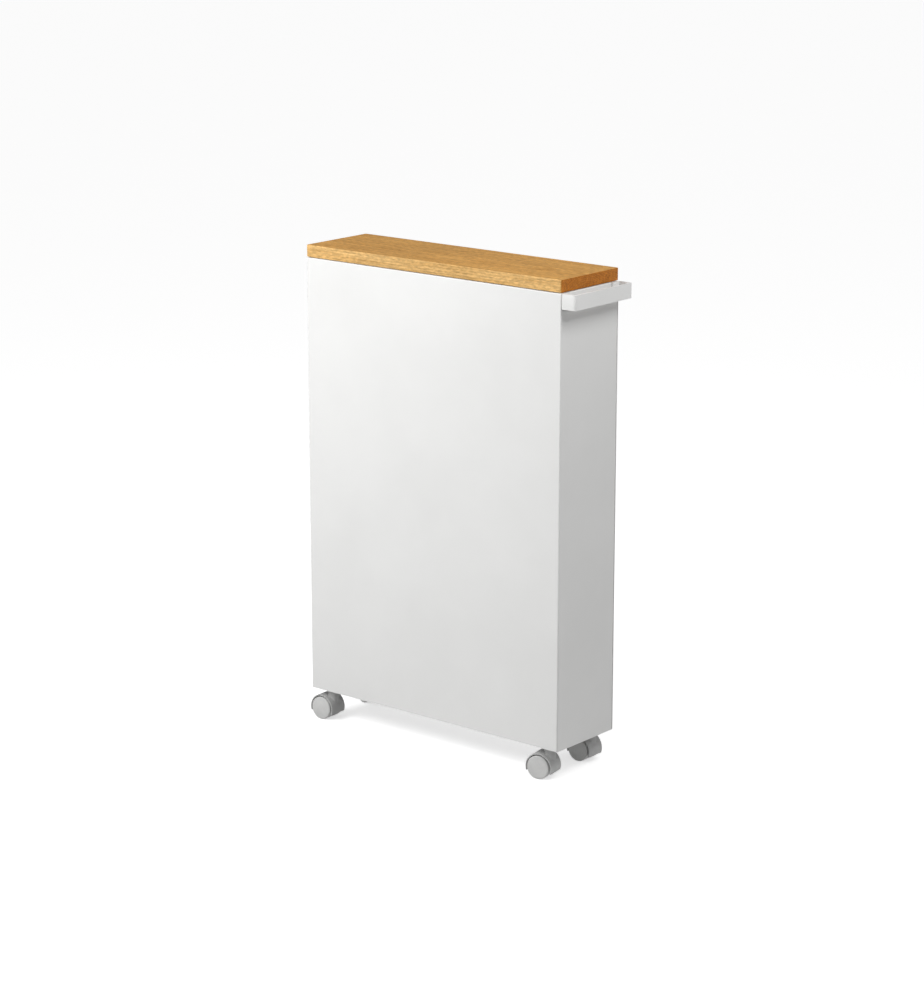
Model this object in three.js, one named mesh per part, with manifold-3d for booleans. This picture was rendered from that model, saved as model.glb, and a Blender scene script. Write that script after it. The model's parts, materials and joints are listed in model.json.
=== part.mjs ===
// Slim laundry sorter on casters: a folded sheet-steel cabinet with two hanging laundry bags,
// a wooden lid on two butt hinges, a flat-bar pull handle on one end and four twin-wheel casters.
// Millimetres, +Z up. The origin is on the floor, below the middle of the overall box.
// +X points to the handle end, and -Y to the plain front panel.
import * as THREE from "three";
import { mergeVertices } from "three/addons/utils/BufferGeometryUtils.js";
import Module from "manifold-3d";

const wasm = await Module();
wasm.setup();

// ---- driving dimensions ----
const cabinetLength = 480;
const cabinetDepth = 135;
const cabinetHeight = 675;
const casterHeight = 50;
const lidThickness = 18;
const lidGap = 1;
const handleReach = 25;

const sheet = 1; // steel sheet of the cabinet
const panSheet = 1.5; // thicker sheet that carries the casters
const gap = 0.3; // clearance between neighbouring pieces
const bendRadius = 2;
const flangeWidth = 11; // inward flange round the cabinet's mouth
const returnWidth = 14; // rear returns that the back panel is fixed to

const barrelRadius = 3;
const hingeReach = gap + 2 * barrelRadius; // how far the hinges stand out behind
const casterReach = 9.07; // how far the left casters trail past the cabinet's end
const turnedReach = 2.2; // how far the turned front right caster stands out in front

// ---- places that follow from them ----
const left = (casterReach - cabinetLength - handleReach) / 2;
const right = left + cabinetLength;
const middle = (left + right) / 2;
const front = (turnedReach - cabinetDepth - hingeReach) / 2;
const back = front + cabinetDepth;
const rear = back - sheet - gap; // outer face of the rear returns
const bottom = casterHeight;
const top = bottom + cabinetHeight;
const lidBottom = top + lidGap;
const lidTop = lidBottom + lidThickness;

// ---- materials ----
const whitePaint = new THREE.MeshStandardMaterial({ color: 0xf0f0ee, roughness: 0.45, metalness: 0 });
const oak = new THREE.MeshStandardMaterial({ color: 0xc4945a, roughness: 0.6, metalness: 0 });
const steel = new THREE.MeshStandardMaterial({ color: 0xb4b6b8, roughness: 0.35, metalness: 1 });
const hoodPlastic = new THREE.MeshStandardMaterial({ color: 0xc9c9c8, roughness: 0.5, metalness: 0 });
const wheelPlastic = new THREE.MeshStandardMaterial({ color: 0xd2d2d1, roughness: 0.4, metalness: 0 });
const canvas = new THREE.MeshStandardMaterial({ color: 0xd8d2c4, roughness: 0.95, metalness: 0 });
const clearRubber = new THREE.MeshStandardMaterial({ color: 0xd9d9d4, roughness: 0.6, metalness: 0 });

const sorter = new THREE.Group();

// ---- shared helpers ----
function add(name, geometry, material, parent = sorter) {
  const mesh = new THREE.Mesh(geometry, material);
  mesh.name = name;
  parent.add(mesh);
  return mesh;
}

function solidOf(geometry) {
  const bare = geometry.clone();
  bare.deleteAttribute("normal");
  bare.deleteAttribute("uv");
  const merged = mergeVertices(bare, 1e-4);
  const mesh = new wasm.Mesh({
    numProp: 3,
    vertProperties: merged.attributes.position.array,
    triVerts: new Uint32Array(merged.index.array),
  });
  return new wasm.Manifold(mesh);
}

function geometryOf(solid) {
  const mesh = solid.getMesh();
  const geometry = new THREE.BufferGeometry();
  geometry.setAttribute("position", new THREE.BufferAttribute(mesh.vertProperties.slice(), 3));
  geometry.setIndex(new THREE.BufferAttribute(mesh.triVerts.slice(), 1));
  geometry.computeVertexNormals();
  return geometry;
}

const join = (...pieces) => geometryOf(pieces.map(solidOf).reduce((a, b) => a.add(b)));
const cut = (body, ...tools) =>
  geometryOf(tools.map(solidOf).reduce((a, b) => a.subtract(b), solidOf(body)));

// Box between two corners.
function block(x0, x1, y0, y1, z0, z1) {
  const box = new THREE.BoxGeometry(x1 - x0, y1 - y0, z1 - z0);
  return box.translate((x0 + x1) / 2, (y0 + y1) / 2, (z0 + z1) / 2);
}

// Round bar along "x", "y" or "z" between two places on that axis.
function bar(axis, radius, from, to, a, b, sides = 16) {
  const rod = new THREE.CylinderGeometry(radius, radius, to - from, sides);
  const along = (from + to) / 2;
  if (axis === "x") return rod.rotateZ(-Math.PI / 2).translate(along, a, b);
  if (axis === "y") return rod.translate(a, along, b);
  return rod.rotateX(Math.PI / 2).translate(a, b, along);
}

function roundedRect(x0, x1, y0, y1, radius) {
  const shape = new THREE.Shape();
  shape.moveTo(x0 + radius, y0);
  shape.lineTo(x1 - radius, y0);
  shape.absarc(x1 - radius, y0 + radius, radius, -Math.PI / 2, 0);
  shape.lineTo(x1, y1 - radius);
  shape.absarc(x1 - radius, y1 - radius, radius, 0, Math.PI / 2);
  shape.lineTo(x0 + radius, y1);
  shape.absarc(x0 + radius, y1 - radius, radius, Math.PI / 2, Math.PI);
  shape.lineTo(x0, y0 + radius);
  shape.absarc(x0 + radius, y0 + radius, radius, Math.PI, 1.5 * Math.PI);
  return shape;
}

// A plan outline raised from z0 to z1.
function raise(shape, z0, z1, curveSegments = 4) {
  const settings = { depth: z1 - z0, bevelEnabled: false, curveSegments };
  return new THREE.ExtrudeGeometry(shape, settings).translate(0, 0, z0);
}

// A side outline, drawn in x and z, given its thickness from y0 to y1.
function thicken(shape, y0, y1, curveSegments = 16) {
  const settings = { depth: y1 - y0, bevelEnabled: false, curveSegments };
  return new THREE.ExtrudeGeometry(shape, settings).rotateX(Math.PI / 2).translate(0, y1, 0);
}

// A turned piece: radius and height pairs from the axis back to the axis, about +Z.
function turn(profile, sides) {
  const points = profile.map(([radius, height]) => new THREE.Vector2(radius, height));
  return new THREE.LatheGeometry(points, sides).rotateX(Math.PI / 2);
}

function hexNut({ acrossFlats, thickness }, boreRadius) {
  const hexagon = new THREE.Shape();
  const corner = acrossFlats / Math.sqrt(3);
  for (let i = 0; i < 6; i++) {
    const angle = (i * Math.PI) / 3;
    const place = [corner * Math.cos(angle), corner * Math.sin(angle)];
    if (i) hexagon.lineTo(...place);
    else hexagon.moveTo(...place);
  }
  hexagon.holes.push(new THREE.Path().absarc(0, 0, boreRadius, 0, 2 * Math.PI, true));
  return raise(hexagon, 0, thickness, 8);
}

// Pan-head screw: its head's underside is at 0, its head points to +Z.
function panScrew({ shankRadius, headRadius, headHeight, length }) {
  return turn(
    [
      [0, -length],
      [shankRadius * 0.7, -length],
      [shankRadius, -length + shankRadius],
      [shankRadius, 0],
      [headRadius, 0],
      [headRadius, headHeight * 0.45],
      [headRadius * 0.7, headHeight],
      [0, headHeight],
    ],
    12,
  );
}

// ---- cabinet ----
const handleDrop = 22; // height of the handle's flat bar
const footHoleInset = 11;
const handleScrew = { shankRadius: 2, headRadius: 3.6, headHeight: 2.4, length: 13 };
const handleNut = { acrossFlats: 7, thickness: 3.2 };
const handleScrewClearance = handleScrew.shankRadius + gap;
const handleScrewPlaces = { front: front + footHoleInset, back: back - footHoleInset };
const handleMiddle = top - handleDrop / 2;

// Front and both ends are one folded sheet, with a flange round the mouth and returns at the rear.
function wrapPanel() {
  const plan = roundedRect(left, right, front, rear, bendRadius);
  plan.holes.push(
    roundedRect(left + sheet, right - sheet, front + sheet, rear - sheet, bendRadius - sheet),
  );
  const rim = roundedRect(left, right, front, rear, bendRadius);
  rim.holes.push(
    roundedRect(left + flangeWidth, right - flangeWidth, front + flangeWidth, rear - flangeWidth, 1),
  );
  const rearOpening = block(
    left + returnWidth,
    right - returnWidth,
    rear - flangeWidth - 1,
    rear + 1,
    bottom - 1,
    top + 1,
  );
  const handleHoles = Object.values(handleScrewPlaces).map((y) =>
    bar("x", handleScrewClearance, right - 3, right + 1, y, handleMiddle, 12),
  );
  return cut(join(raise(plan, bottom, top), raise(rim, top - sheet, top)), rearOpening, ...handleHoles);
}

const hingeAxis = { y: back + gap + barrelRadius, z: top + lidGap / 2 };
const hingeInset = 90; // from each end of the cabinet to the middle of a hinge
const hingeMiddles = { left: left + hingeInset, right: right - hingeInset };
const hingeWidth = 36;
const hingeScrewSpread = 11; // either side of a hinge's middle
const bodyLeafReach = 18; // from the hinge's axis down to the leaf's end
const lidLeafReach = 16.5; // and up to the other leaf's end
const bodyLeafScrewZ = hingeAxis.z - 11.5;
const lidLeafScrewZ = hingeAxis.z + 10;
const hingeScrew = { shankRadius: 1.5, headRadius: 2.7, headHeight: 1.4, length: 11 };
const hingeScrewClearance = hingeScrew.shankRadius + gap;
const pilotDepth = 13; // of the hinge screws' holes in the lid
const hingeScrewPlaces = Object.values(hingeMiddles).flatMap((x) => [
  x - hingeScrewSpread,
  x + hingeScrewSpread,
]);

function backPanel() {
  const flat = block(left + gap, right - gap, back - sheet, back, bottom, top);
  const flange = block(
    left + returnWidth + gap,
    right - returnWidth - gap,
    back - flangeWidth,
    back,
    top - sheet,
    top,
  );
  const holes = hingeScrewPlaces.map((x) =>
    bar("y", hingeScrewClearance, back - 3, back + 1, x, bodyLeafScrewZ, 10),
  );
  return cut(join(flat, flange), ...holes);
}

const panBottom = bottom + 0.5;
const panTop = panBottom + panSheet;
const panLip = 14;
const stemInsetX = 27;
const stemInsetY = 18.5;
const stemRadius = 4;

const stemPlaces = {
  front_right: { x: right - stemInsetX, y: front + stemInsetY },
  front_left: { x: left + stemInsetX, y: front + stemInsetY },
  back_right: { x: right - stemInsetX, y: back - stemInsetY },
  back_left: { x: left + stemInsetX, y: back - stemInsetY },
};

// Bottom tray with an upturned lip, fixed inside the folded sheet.
function basePan() {
  const inset = sheet + gap;
  const tray = block(left + inset, right - inset, front + inset, rear - inset, panBottom, panTop + panLip);
  const wall = inset + panSheet;
  const hollow = block(left + wall, right - wall, front + wall, rear - wall, panTop, panTop + panLip + 1);
  const holes = Object.values(stemPlaces).map(({ x, y }) =>
    bar("z", stemRadius + gap, panBottom - 1, panTop + 1, x, y),
  );
  return cut(tray, hollow, ...holes);
}

const ledgeZ = top - 30; // underside of the rails' ledges
const ledgeWidth = 19;
const railLeg = 13;
const railInset = sheet + gap;

// Angle rail along a long wall; side is 1 on the front wall and -1 on the back wall.
function bagRail(wallY, side) {
  const x0 = left + returnWidth + 0.5;
  const x1 = right - returnWidth - 0.5;
  const near = wallY + side * railInset;
  const between = (a, b, z0, z1) => block(x0, x1, Math.min(a, b), Math.max(a, b), z0, z1);
  return join(
    between(near, near + side * ledgeWidth, ledgeZ, ledgeZ + sheet),
    between(near, near + side * sheet, ledgeZ, ledgeZ + railLeg),
  );
}

// Upright between the two bags, folded at both long edges, which also stiffens the tall walls.
function dividerPanel() {
  const fold = 12;
  const y0 = front + railInset;
  const y1 = back - railInset;
  const z0 = panTop + panLip + 1;
  const z1 = ledgeZ - gap;
  const x0 = middle - sheet / 2;
  return join(
    block(x0, x0 + sheet, y0, y1, z0, z1),
    block(x0, x0 + fold, y0, y0 + sheet, z0, z1),
    block(x0, x0 + fold, y1 - sheet, y1, z0, z1),
  );
}

add("wrap_panel", wrapPanel(), whitePaint);
add("back_panel", backPanel(), whitePaint);
add("base_pan", basePan(), whitePaint);
add("divider_panel", dividerPanel(), whitePaint);
add("bag_rail_front", bagRail(front, 1), whitePaint);
add("bag_rail_back", bagRail(back, -1), whitePaint);

// ---- bags ----
const wireRadius = 2;
const hemThickness = 1; // room for the bag's hem between the wire and the ledges
const frameLength = 218;
const frameWidth = 106;
const frameCornerRadius = 16;
const frameY = (front + flangeWidth + back - flangeWidth) / 2;
const frameInset = 2; // from the end flange's returns to the frame
const wireZ = ledgeZ + sheet + hemThickness + gap + wireRadius;
const bagWall = 2.5;
const bagBottom = panTop + panLip;
const bagTop = wireZ + wireRadius;
const bagWidth = 92;
const bagCornerRadius = 14;
const bagMiddles = {
  left: left + returnWidth + frameInset + frameLength / 2,
  right: right - returnWidth - frameInset - frameLength / 2,
};

// Steel wire bent to a rounded rectangle and welded shut; its section is an octagon.
function bagFrame(x) {
  const chamfer = wireRadius * (2 - Math.SQRT2);
  const flat = 2 * (wireRadius - chamfer);
  const outline = (inset) =>
    roundedRect(
      x - frameLength / 2 + inset,
      x + frameLength / 2 - inset,
      frameY - frameWidth / 2 + inset,
      frameY + frameWidth / 2 - inset,
      frameCornerRadius - inset,
    );
  const loop = outline(chamfer);
  loop.holes.push(outline(2 * wireRadius - chamfer));
  const bevel = { bevelThickness: chamfer, bevelSize: chamfer, bevelSegments: 1 };
  const settings = { depth: flat, curveSegments: 4, ...bevel };
  return new THREE.ExtrudeGeometry(loop, settings).translate(0, 0, wireZ - flat / 2);
}

// Open-topped bag that hangs inside its wire frame, between the two ledges.
function laundryBag(x) {
  const halfX = frameLength / 2 - 2 * wireRadius - gap;
  const halfY = bagWidth / 2;
  const outline = (inset) =>
    roundedRect(
      x - halfX + inset,
      x + halfX - inset,
      frameY - halfY + inset,
      frameY + halfY - inset,
      bagCornerRadius - inset,
    );
  return cut(
    raise(outline(0), bagBottom, bagTop, 3),
    raise(outline(bagWall), bagBottom + bagWall, bagTop + 1, 3),
  );
}

for (const [place, x] of Object.entries(bagMiddles)) {
  add(`bag_frame_${place}`, bagFrame(x), steel);
  add(`laundry_bag_${place}`, laundryBag(x), canvas);
}

// ---- pull handle ----
const handleThickness = 3;
const handleBend = 4.5; // outer radius of the two corners
const footLength = 18;

// Flat bar bent to a U, whose ends turn in to form the two feet on the cabinet's end.
function handleBand() {
  const t = handleThickness;
  const x0 = right + gap;
  const x1 = right + handleReach;
  const inner = handleBend - t;
  const shape = new THREE.Shape();
  shape.moveTo(x0, front + t);
  shape.absarc(x0 + t, front + t, t, Math.PI, 1.5 * Math.PI);
  shape.lineTo(x1 - handleBend, front);
  shape.absarc(x1 - handleBend, front + handleBend, handleBend, -Math.PI / 2, 0);
  shape.lineTo(x1, back - handleBend);
  shape.absarc(x1 - handleBend, back - handleBend, handleBend, 0, Math.PI / 2);
  shape.lineTo(x0 + t, back);
  shape.absarc(x0 + t, back - t, t, Math.PI / 2, Math.PI);
  shape.lineTo(x0, back - footLength);
  shape.lineTo(x0 + t, back - footLength);
  shape.lineTo(x0 + t, back - t);
  shape.lineTo(x1 - handleBend, back - t);
  shape.absarc(x1 - handleBend, back - handleBend, inner, Math.PI / 2, 0, true);
  shape.lineTo(x1 - t, front + handleBend);
  shape.absarc(x1 - handleBend, front + handleBend, inner, 0, -Math.PI / 2, true);
  shape.lineTo(x0 + t, front + t);
  shape.lineTo(x0 + t, front + footLength);
  shape.lineTo(x0, front + footLength);
  const holes = Object.values(handleScrewPlaces).map((y) =>
    bar("x", handleScrewClearance, x0 - 1, x0 + t + 1, y, handleMiddle, 12),
  );
  return cut(raise(shape, top - handleDrop, top, 6), ...holes);
}

add("handle_band", handleBand(), whitePaint);
for (const [place, y] of Object.entries(handleScrewPlaces)) {
  const screw = add(`handle_screw_${place}`, panScrew(handleScrew), steel);
  screw.rotation.y = Math.PI / 2;
  screw.position.set(right + 2 * gap + handleThickness, y, handleMiddle);
  const nut = add(`handle_nut_${place}`, hexNut(handleNut, handleScrewClearance), steel);
  nut.rotation.y = -Math.PI / 2;
  nut.position.set(right - sheet - gap, y, handleMiddle);
}

// ---- lid ----
const lidCornerRadius = 3;
const bumperRadius = 3.2;
const bumperInset = 5.6;
const bumperSeat = 2.6; // depth of the drilled seats in the lid
const bumperPlaces = {
  front_left: [left + bumperInset, front + bumperInset],
  front_right: [right - bumperInset, front + bumperInset],
  back_left: [left + bumperInset, back - bumperInset],
  back_right: [right - bumperInset, back - bumperInset],
};

function lidBoard() {
  const board = raise(roundedRect(left, right, front, back, lidCornerRadius), lidBottom, lidTop);
  const seats = Object.values(bumperPlaces).map(([x, y]) =>
    bar("z", bumperRadius + gap, lidBottom - 1, lidBottom + bumperSeat, x, y, 12),
  );
  const pilotHoles = hingeScrewPlaces.map((x) =>
    bar("y", hingeScrewClearance, back - pilotDepth, back + 1, x, lidLeafScrewZ, 10),
  );
  return cut(board, ...seats, ...pilotHoles);
}

add("lid_board", lidBoard(), oak);
for (const [place, [x, y]] of Object.entries(bumperPlaces)) {
  const bumper = bar("z", bumperRadius, top + gap, lidBottom + bumperSeat - gap, x, y, 12);
  add(`lid_bumper_${place}`, bumper, clearRubber);
}

// ---- hinges ----
const leafThickness = 1.5;
const pinRadius = 1.3;
const knuckle = hingeWidth / 3;

// One leaf: side is -1 below the axis, on the cabinet, and 1 above it, on the lid.
function hingeLeaf(x, side, reach, screwZ) {
  const y0 = back + gap;
  const y1 = y0 + leafThickness;
  const { y, z } = hingeAxis;
  const clear = z + side * (barrelRadius + 2 * gap);
  const end = z + side * reach;
  const half = hingeWidth / 2;
  const plate = block(x - half, x + half, y0, y1, Math.min(clear, end), Math.max(clear, end));
  const inner = half - knuckle;
  const outerKnuckles = [
    [-half, -inner - gap],
    [inner + gap, half],
  ];
  const spans = side < 0 ? outerKnuckles : [[gap - inner, inner - gap]];
  const knuckles = spans.flatMap(([a, b]) => [
    block(x + a, x + b, y0, y1, Math.min(z, clear + side * 0.1), Math.max(z, clear + side * 0.1)),
    bar("x", barrelRadius, x + a, x + b, y, z),
  ]);
  const bore = bar("x", pinRadius + gap, x - half - 1, x + half + 1, y, z, 12);
  const holes = [-hingeScrewSpread, hingeScrewSpread].map((dx) =>
    bar("y", hingeScrewClearance, y0 - 1, y1 + 1, x + dx, screwZ, 10),
  );
  return cut(join(plate, ...knuckles), bore, ...holes);
}

let screwNumber = 0;
for (const [place, x] of Object.entries(hingeMiddles)) {
  add(`hinge_body_leaf_${place}`, hingeLeaf(x, -1, bodyLeafReach, bodyLeafScrewZ), steel);
  add(`hinge_lid_leaf_${place}`, hingeLeaf(x, 1, lidLeafReach, lidLeafScrewZ), steel);
  const { y, z } = hingeAxis;
  const half = hingeWidth / 2;
  add(`hinge_pin_${place}`, bar("x", pinRadius, x - half, x + half, y, z, 12), steel);
  for (const [leaf, screwZ] of [["body", bodyLeafScrewZ], ["lid", lidLeafScrewZ]]) {
    for (const dx of [-hingeScrewSpread, hingeScrewSpread]) {
      screwNumber += 1;
      const screw = add(`hinge_${leaf}_screw_${screwNumber}`, panScrew(hingeScrew), steel);
      screw.rotation.x = -Math.PI / 2;
      screw.position.set(x + dx, back + 2 * gap + leafThickness, screwZ);
    }
  }
}

// ---- casters ----
const wheelRadius = 18;
const wheelSides = 28;
const trail = 12.5; // from the stem's axis back to the axle
const webHalf = 3.5;
const hoodHalf = 15.5;
const hoodShift = 1.3; // the hood's arch is centred this far ahead of the axle
const hoodInner = 20;
const hoodOuter = 21.8;
const axleRadius = 2;
const axleHalf = 13.6;
const wheelBoreEnd = 14; // the axle's blind bore in a wheel, from the caster's middle
const hubRadius = 6;
const bossRadius = 8.5;
const bossFoot = wheelRadius + 4;
const bossTop = 48;
const stemFoot = 37.3;
const stemFlange = { radius: 8, rise: 0.4 }; // collar that the pan rests on, just above the boss
const stemThread = 10; // how far the stem stands above the pan's floor
const casterNut = { acrossFlats: 13, thickness: 6.5 };
const degrees = Math.PI / 180;
const coverFrom = -20 * degrees; // the cover runs from below the axle on the stem side
const coverTo = 198 * degrees; // to just below it on the trailing side

// Hood of one caster: an arched cover, a web for the axle and a boss for the stem.
function casterHood() {
  const archX = hoodShift - trail;
  const arch = new THREE.Shape();
  arch.moveTo(archX, wheelRadius);
  arch.absarc(archX, wheelRadius, hoodOuter, coverFrom, coverTo);
  const hub = bar("y", hubRadius, -webHalf, webHalf, -trail, wheelRadius);
  const boss = bar("z", bossRadius, bossFoot, bossTop, 0, 0, 24);
  const pockets = [-1, 1].map((side) => {
    const ends = [side * webHalf, side * (hoodHalf + 1)].sort((a, b) => a - b);
    return bar("y", hoodInner, ...ends, archX, wheelRadius, 32);
  });
  const axleHole = bar("y", axleRadius + gap, -webHalf - 1, webHalf + 1, -trail, wheelRadius, 12);
  const stemBore = bar("z", stemRadius + gap, stemFoot - gap, bossTop + 1, 0, 0);
  return cut(
    join(thicken(arch, -hoodHalf, hoodHalf), hub, boss),
    ...pockets,
    axleHole,
    stemBore,
  );
}

// Wheel with a closed, slightly domed outer face, on +Y of the web; it stands on one flat side.
function casterWheel() {
  const innerFace = webHalf + 0.6;
  const rim = hoodHalf + 0.2;
  const half = Math.PI / wheelSides;
  const profile = [
    [0, wheelBoreEnd],
    [axleRadius + gap, wheelBoreEnd],
    [axleRadius + gap, innerFace],
    [wheelRadius - 1.2, innerFace],
    [wheelRadius, innerFace + 1],
    [wheelRadius, rim - 1.4],
    [wheelRadius - 1, rim - 0.3],
    [wheelRadius - 2.5, rim],
    [wheelRadius * 0.45, rim + 0.7],
    [0, rim + 0.9],
  ];
  const standing = turn(profile, wheelSides).rotateZ(half);
  return standing.scale(1 / Math.cos(half), 1 / Math.cos(half), 1).rotateX(-Math.PI / 2);
}

const stemProfile = [
  [0, stemFoot],
  [stemRadius, stemFoot],
  [stemRadius, bossTop + stemFlange.rise],
  [stemFlange.radius, bossTop + stemFlange.rise],
  [stemFlange.radius, panBottom - gap],
  [stemRadius, panBottom - gap],
  [stemRadius, panTop + stemThread - 1],
  [stemRadius - 1, panTop + stemThread],
  [0, panTop + stemThread],
];

// Swivel of each caster at rest, about +Z: they trail to the left after the cart was pulled right.
const swivelAtRest = { front_right: 9.5, front_left: 2, back_right: -1.5, back_left: -17 };

for (const [place, { x, y }] of Object.entries(stemPlaces)) {
  const caster = new THREE.Group();
  caster.position.set(x, y, 0);
  caster.rotation.z = swivelAtRest[place] * degrees;
  sorter.add(caster);
  add(`caster_stem_${place}`, turn(stemProfile, 16), steel, caster);
  const nut = add(`caster_nut_${place}`, hexNut(casterNut, stemRadius + gap), steel, caster);
  nut.position.z = panTop + gap;
  add(`caster_hood_${place}`, casterHood(), hoodPlastic, caster);
  const axle = bar("y", axleRadius, -axleHalf, axleHalf, -trail, wheelRadius, 12);
  add(`caster_axle_${place}`, axle, steel, caster);
  for (const [side, angle] of [["back", 0], ["front", Math.PI]]) {
    const wheel = add(`caster_wheel_${side}_${place}`, casterWheel(), wheelPlastic, caster);
    wheel.position.set(-trail, 0, wheelRadius);
    wheel.rotation.z = angle;
  }
}

export default sorter;
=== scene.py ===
import json
import math

import bmesh
import bpy
import numpy as np
from mathutils import Matrix, Vector


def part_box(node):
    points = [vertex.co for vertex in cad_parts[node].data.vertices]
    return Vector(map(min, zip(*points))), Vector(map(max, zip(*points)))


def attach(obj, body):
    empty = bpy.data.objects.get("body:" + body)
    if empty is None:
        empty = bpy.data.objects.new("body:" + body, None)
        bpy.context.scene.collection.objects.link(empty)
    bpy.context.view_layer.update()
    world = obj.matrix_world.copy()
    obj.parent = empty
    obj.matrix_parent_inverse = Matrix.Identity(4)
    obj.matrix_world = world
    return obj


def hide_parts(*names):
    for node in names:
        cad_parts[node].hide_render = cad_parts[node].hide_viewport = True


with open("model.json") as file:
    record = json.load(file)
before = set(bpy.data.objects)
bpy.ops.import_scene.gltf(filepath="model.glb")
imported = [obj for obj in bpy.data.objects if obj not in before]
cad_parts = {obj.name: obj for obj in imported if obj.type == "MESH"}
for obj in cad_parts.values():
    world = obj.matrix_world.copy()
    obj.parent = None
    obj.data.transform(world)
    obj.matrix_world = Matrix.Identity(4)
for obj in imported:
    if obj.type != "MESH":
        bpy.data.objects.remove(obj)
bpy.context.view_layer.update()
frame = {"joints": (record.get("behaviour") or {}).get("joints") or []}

scene = bpy.context.scene
mm = 0.001


def boxOf(node):
    low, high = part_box(node)
    return np.array(low), np.array(high)


def jointNamed(name):
    return next(joint for joint in frame["joints"] if joint["name"] == name)


places = ["front_right", "front_left", "back_right", "back_left"]
shellLow, shellHigh = boxOf("wrap_panel")
rearLow, rearHigh = boxOf("back_panel")
lidLow, lidHigh = boxOf("lid_board")
middleX = (lidLow[0] + lidHigh[0]) / 2
middleY = (lidLow[1] + lidHigh[1]) / 2


class Value:
    def __init__(self, graph, socket):
        self.graph = graph
        self.socket = socket

    def maths(self, operation, *others):
        sockets = dict(enumerate([self, *others]))
        return self.graph.node("ShaderNodeMath", {"operation": operation}, sockets)

    def __add__(self, other):
        return self.maths("ADD", other)

    def __mul__(self, other):
        return self.maths("MULTIPLY", other)

    def __sub__(self, other):
        return self.maths("SUBTRACT", other)

    def __rsub__(self, other):
        return self.graph.node("ShaderNodeMath", {"operation": "SUBTRACT"}, {0: other, 1: self})

    __radd__ = __add__
    __rmul__ = __mul__


class Graph:
    def __init__(self, owner):
        owner.use_nodes = True
        self.tree = owner.node_tree
        self.shader = self.tree.nodes.get("Principled BSDF")

    # any node: its settings first, then the values or links of its sockets
    def node(self, kind, settings=None, sockets=None, output=0):
        made = self.tree.nodes.new(kind)
        for name, setting in (settings or {}).items():
            if name == "stops":
                self.fillRamp(made.color_ramp, setting)
            else:
                setattr(made, name, setting)
        for name, value in (sockets or {}).items():
            self.feed(made.inputs[name], value)
        return Value(self, made.outputs[output])

    def fillRamp(self, ramp, stops):
        while len(ramp.elements) < len(stops):
            ramp.elements.new(0.5)
        for element, (position, colour) in zip(ramp.elements, stops):
            element.position = position
            element.color = (*colour, 1) if len(colour) == 3 else colour

    def feed(self, socket, value):
        if isinstance(value, Value):
            self.tree.links.new(value.socket, socket)
        elif isinstance(value, tuple) and len(value) == 3 and socket.type == "RGBA":
            socket.default_value = (*value, 1)
        else:
            socket.default_value = value

    def place(self, scale=(1, 1, 1), source="Object"):
        coordinates = self.node("ShaderNodeTexCoord", output=source)
        return self.node("ShaderNodeMapping", sockets={"Vector": coordinates, "Scale": scale})

    def axes(self, source="Object"):
        coordinates = self.node("ShaderNodeTexCoord", output=source)
        split = self.node("ShaderNodeSeparateXYZ", sockets={0: coordinates})
        return [Value(self, socket) for socket in split.socket.node.outputs]

    def noise(self, vector, scale, detail=2, roughness=0.5):
        sockets = {"Vector": vector, "Scale": scale, "Detail": detail, "Roughness": roughness}
        return self.node("ShaderNodeTexNoise", sockets=sockets)

    def mix(self, factor, first, second, blend="MIX"):
        settings = {"data_type": "RGBA", "blend_type": blend}
        return self.node("ShaderNodeMix", settings, {0: factor, 6: first, 7: second}, output=2)

    def grey(self, value):
        return self.node("ShaderNodeCombineColor", sockets={0: value, 1: value, 2: value})

    def remap(self, value, low, high, toLow=0, toHigh=1):
        sockets = {"Value": value, "From Min": low, "From Max": high, "To Min": toLow, "To Max": toHigh}
        return self.node("ShaderNodeMapRange", sockets=sockets)

    def bump(self, height, strength, distance):
        sockets = {"Height": height, "Strength": strength, "Distance": distance}
        return self.node("ShaderNodeBump", sockets=sockets)

    def finish(self, **sockets):
        for name, value in sockets.items():
            self.feed(self.shader.inputs[name.replace("_", " ")], value)


def newMaterial(name):
    material = bpy.data.materials.new(name)
    return material, Graph(material)


largeFace = 0.0015  # square metres


# Curved parts shade smoothly; large faces stay flat, so that their rounded edges don't tilt them.
def smoothed(mesh, angle=35):
    mesh.set_sharp_from_angle(angle=math.radians(angle))
    mesh.polygons.foreach_set("use_smooth", [face.area < largeFace for face in mesh.polygons])
    mesh.update()


def meshObject(name, vertices, faces, material, angle=35):
    mesh = bpy.data.meshes.new(name)
    mesh.from_pydata([tuple(v) for v in vertices], [], faces)
    mesh.validate()
    work = bmesh.new()
    work.from_mesh(mesh)
    bmesh.ops.remove_doubles(work, verts=work.verts, dist=1e-7)
    bmesh.ops.recalc_face_normals(work, faces=work.faces)
    work.to_mesh(mesh)
    work.free()
    mesh.materials.append(material)
    smoothed(mesh, angle)
    made = bpy.data.objects.new(name, mesh)
    scene.collection.objects.link(made)
    return made


# Applies every modifier, so that the finished mesh is what rides on its body.
def applied(made, angle=35):
    graph = bpy.context.evaluated_depsgraph_get()
    mesh = bpy.data.meshes.new_from_object(made.evaluated_get(graph))
    made.modifiers.clear()
    made.data = mesh
    smoothed(mesh, angle)
    return made


def softened(made, width, segments=2, angle=40):
    bevel = made.modifiers.new("edges", "BEVEL")
    bevel.width = width
    bevel.segments = segments
    bevel.limit_method = "ANGLE"
    bevel.angle_limit = math.radians(angle)
    bevel.harden_normals = False
    return applied(made)


def boolean(made, tool, operation):
    modifier = made.modifiers.new(operation.lower(), "BOOLEAN")
    modifier.operation = operation
    modifier.solver = "EXACT"
    modifier.object = tool
    applied(made)
    bpy.data.objects.remove(tool)
    return made


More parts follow.
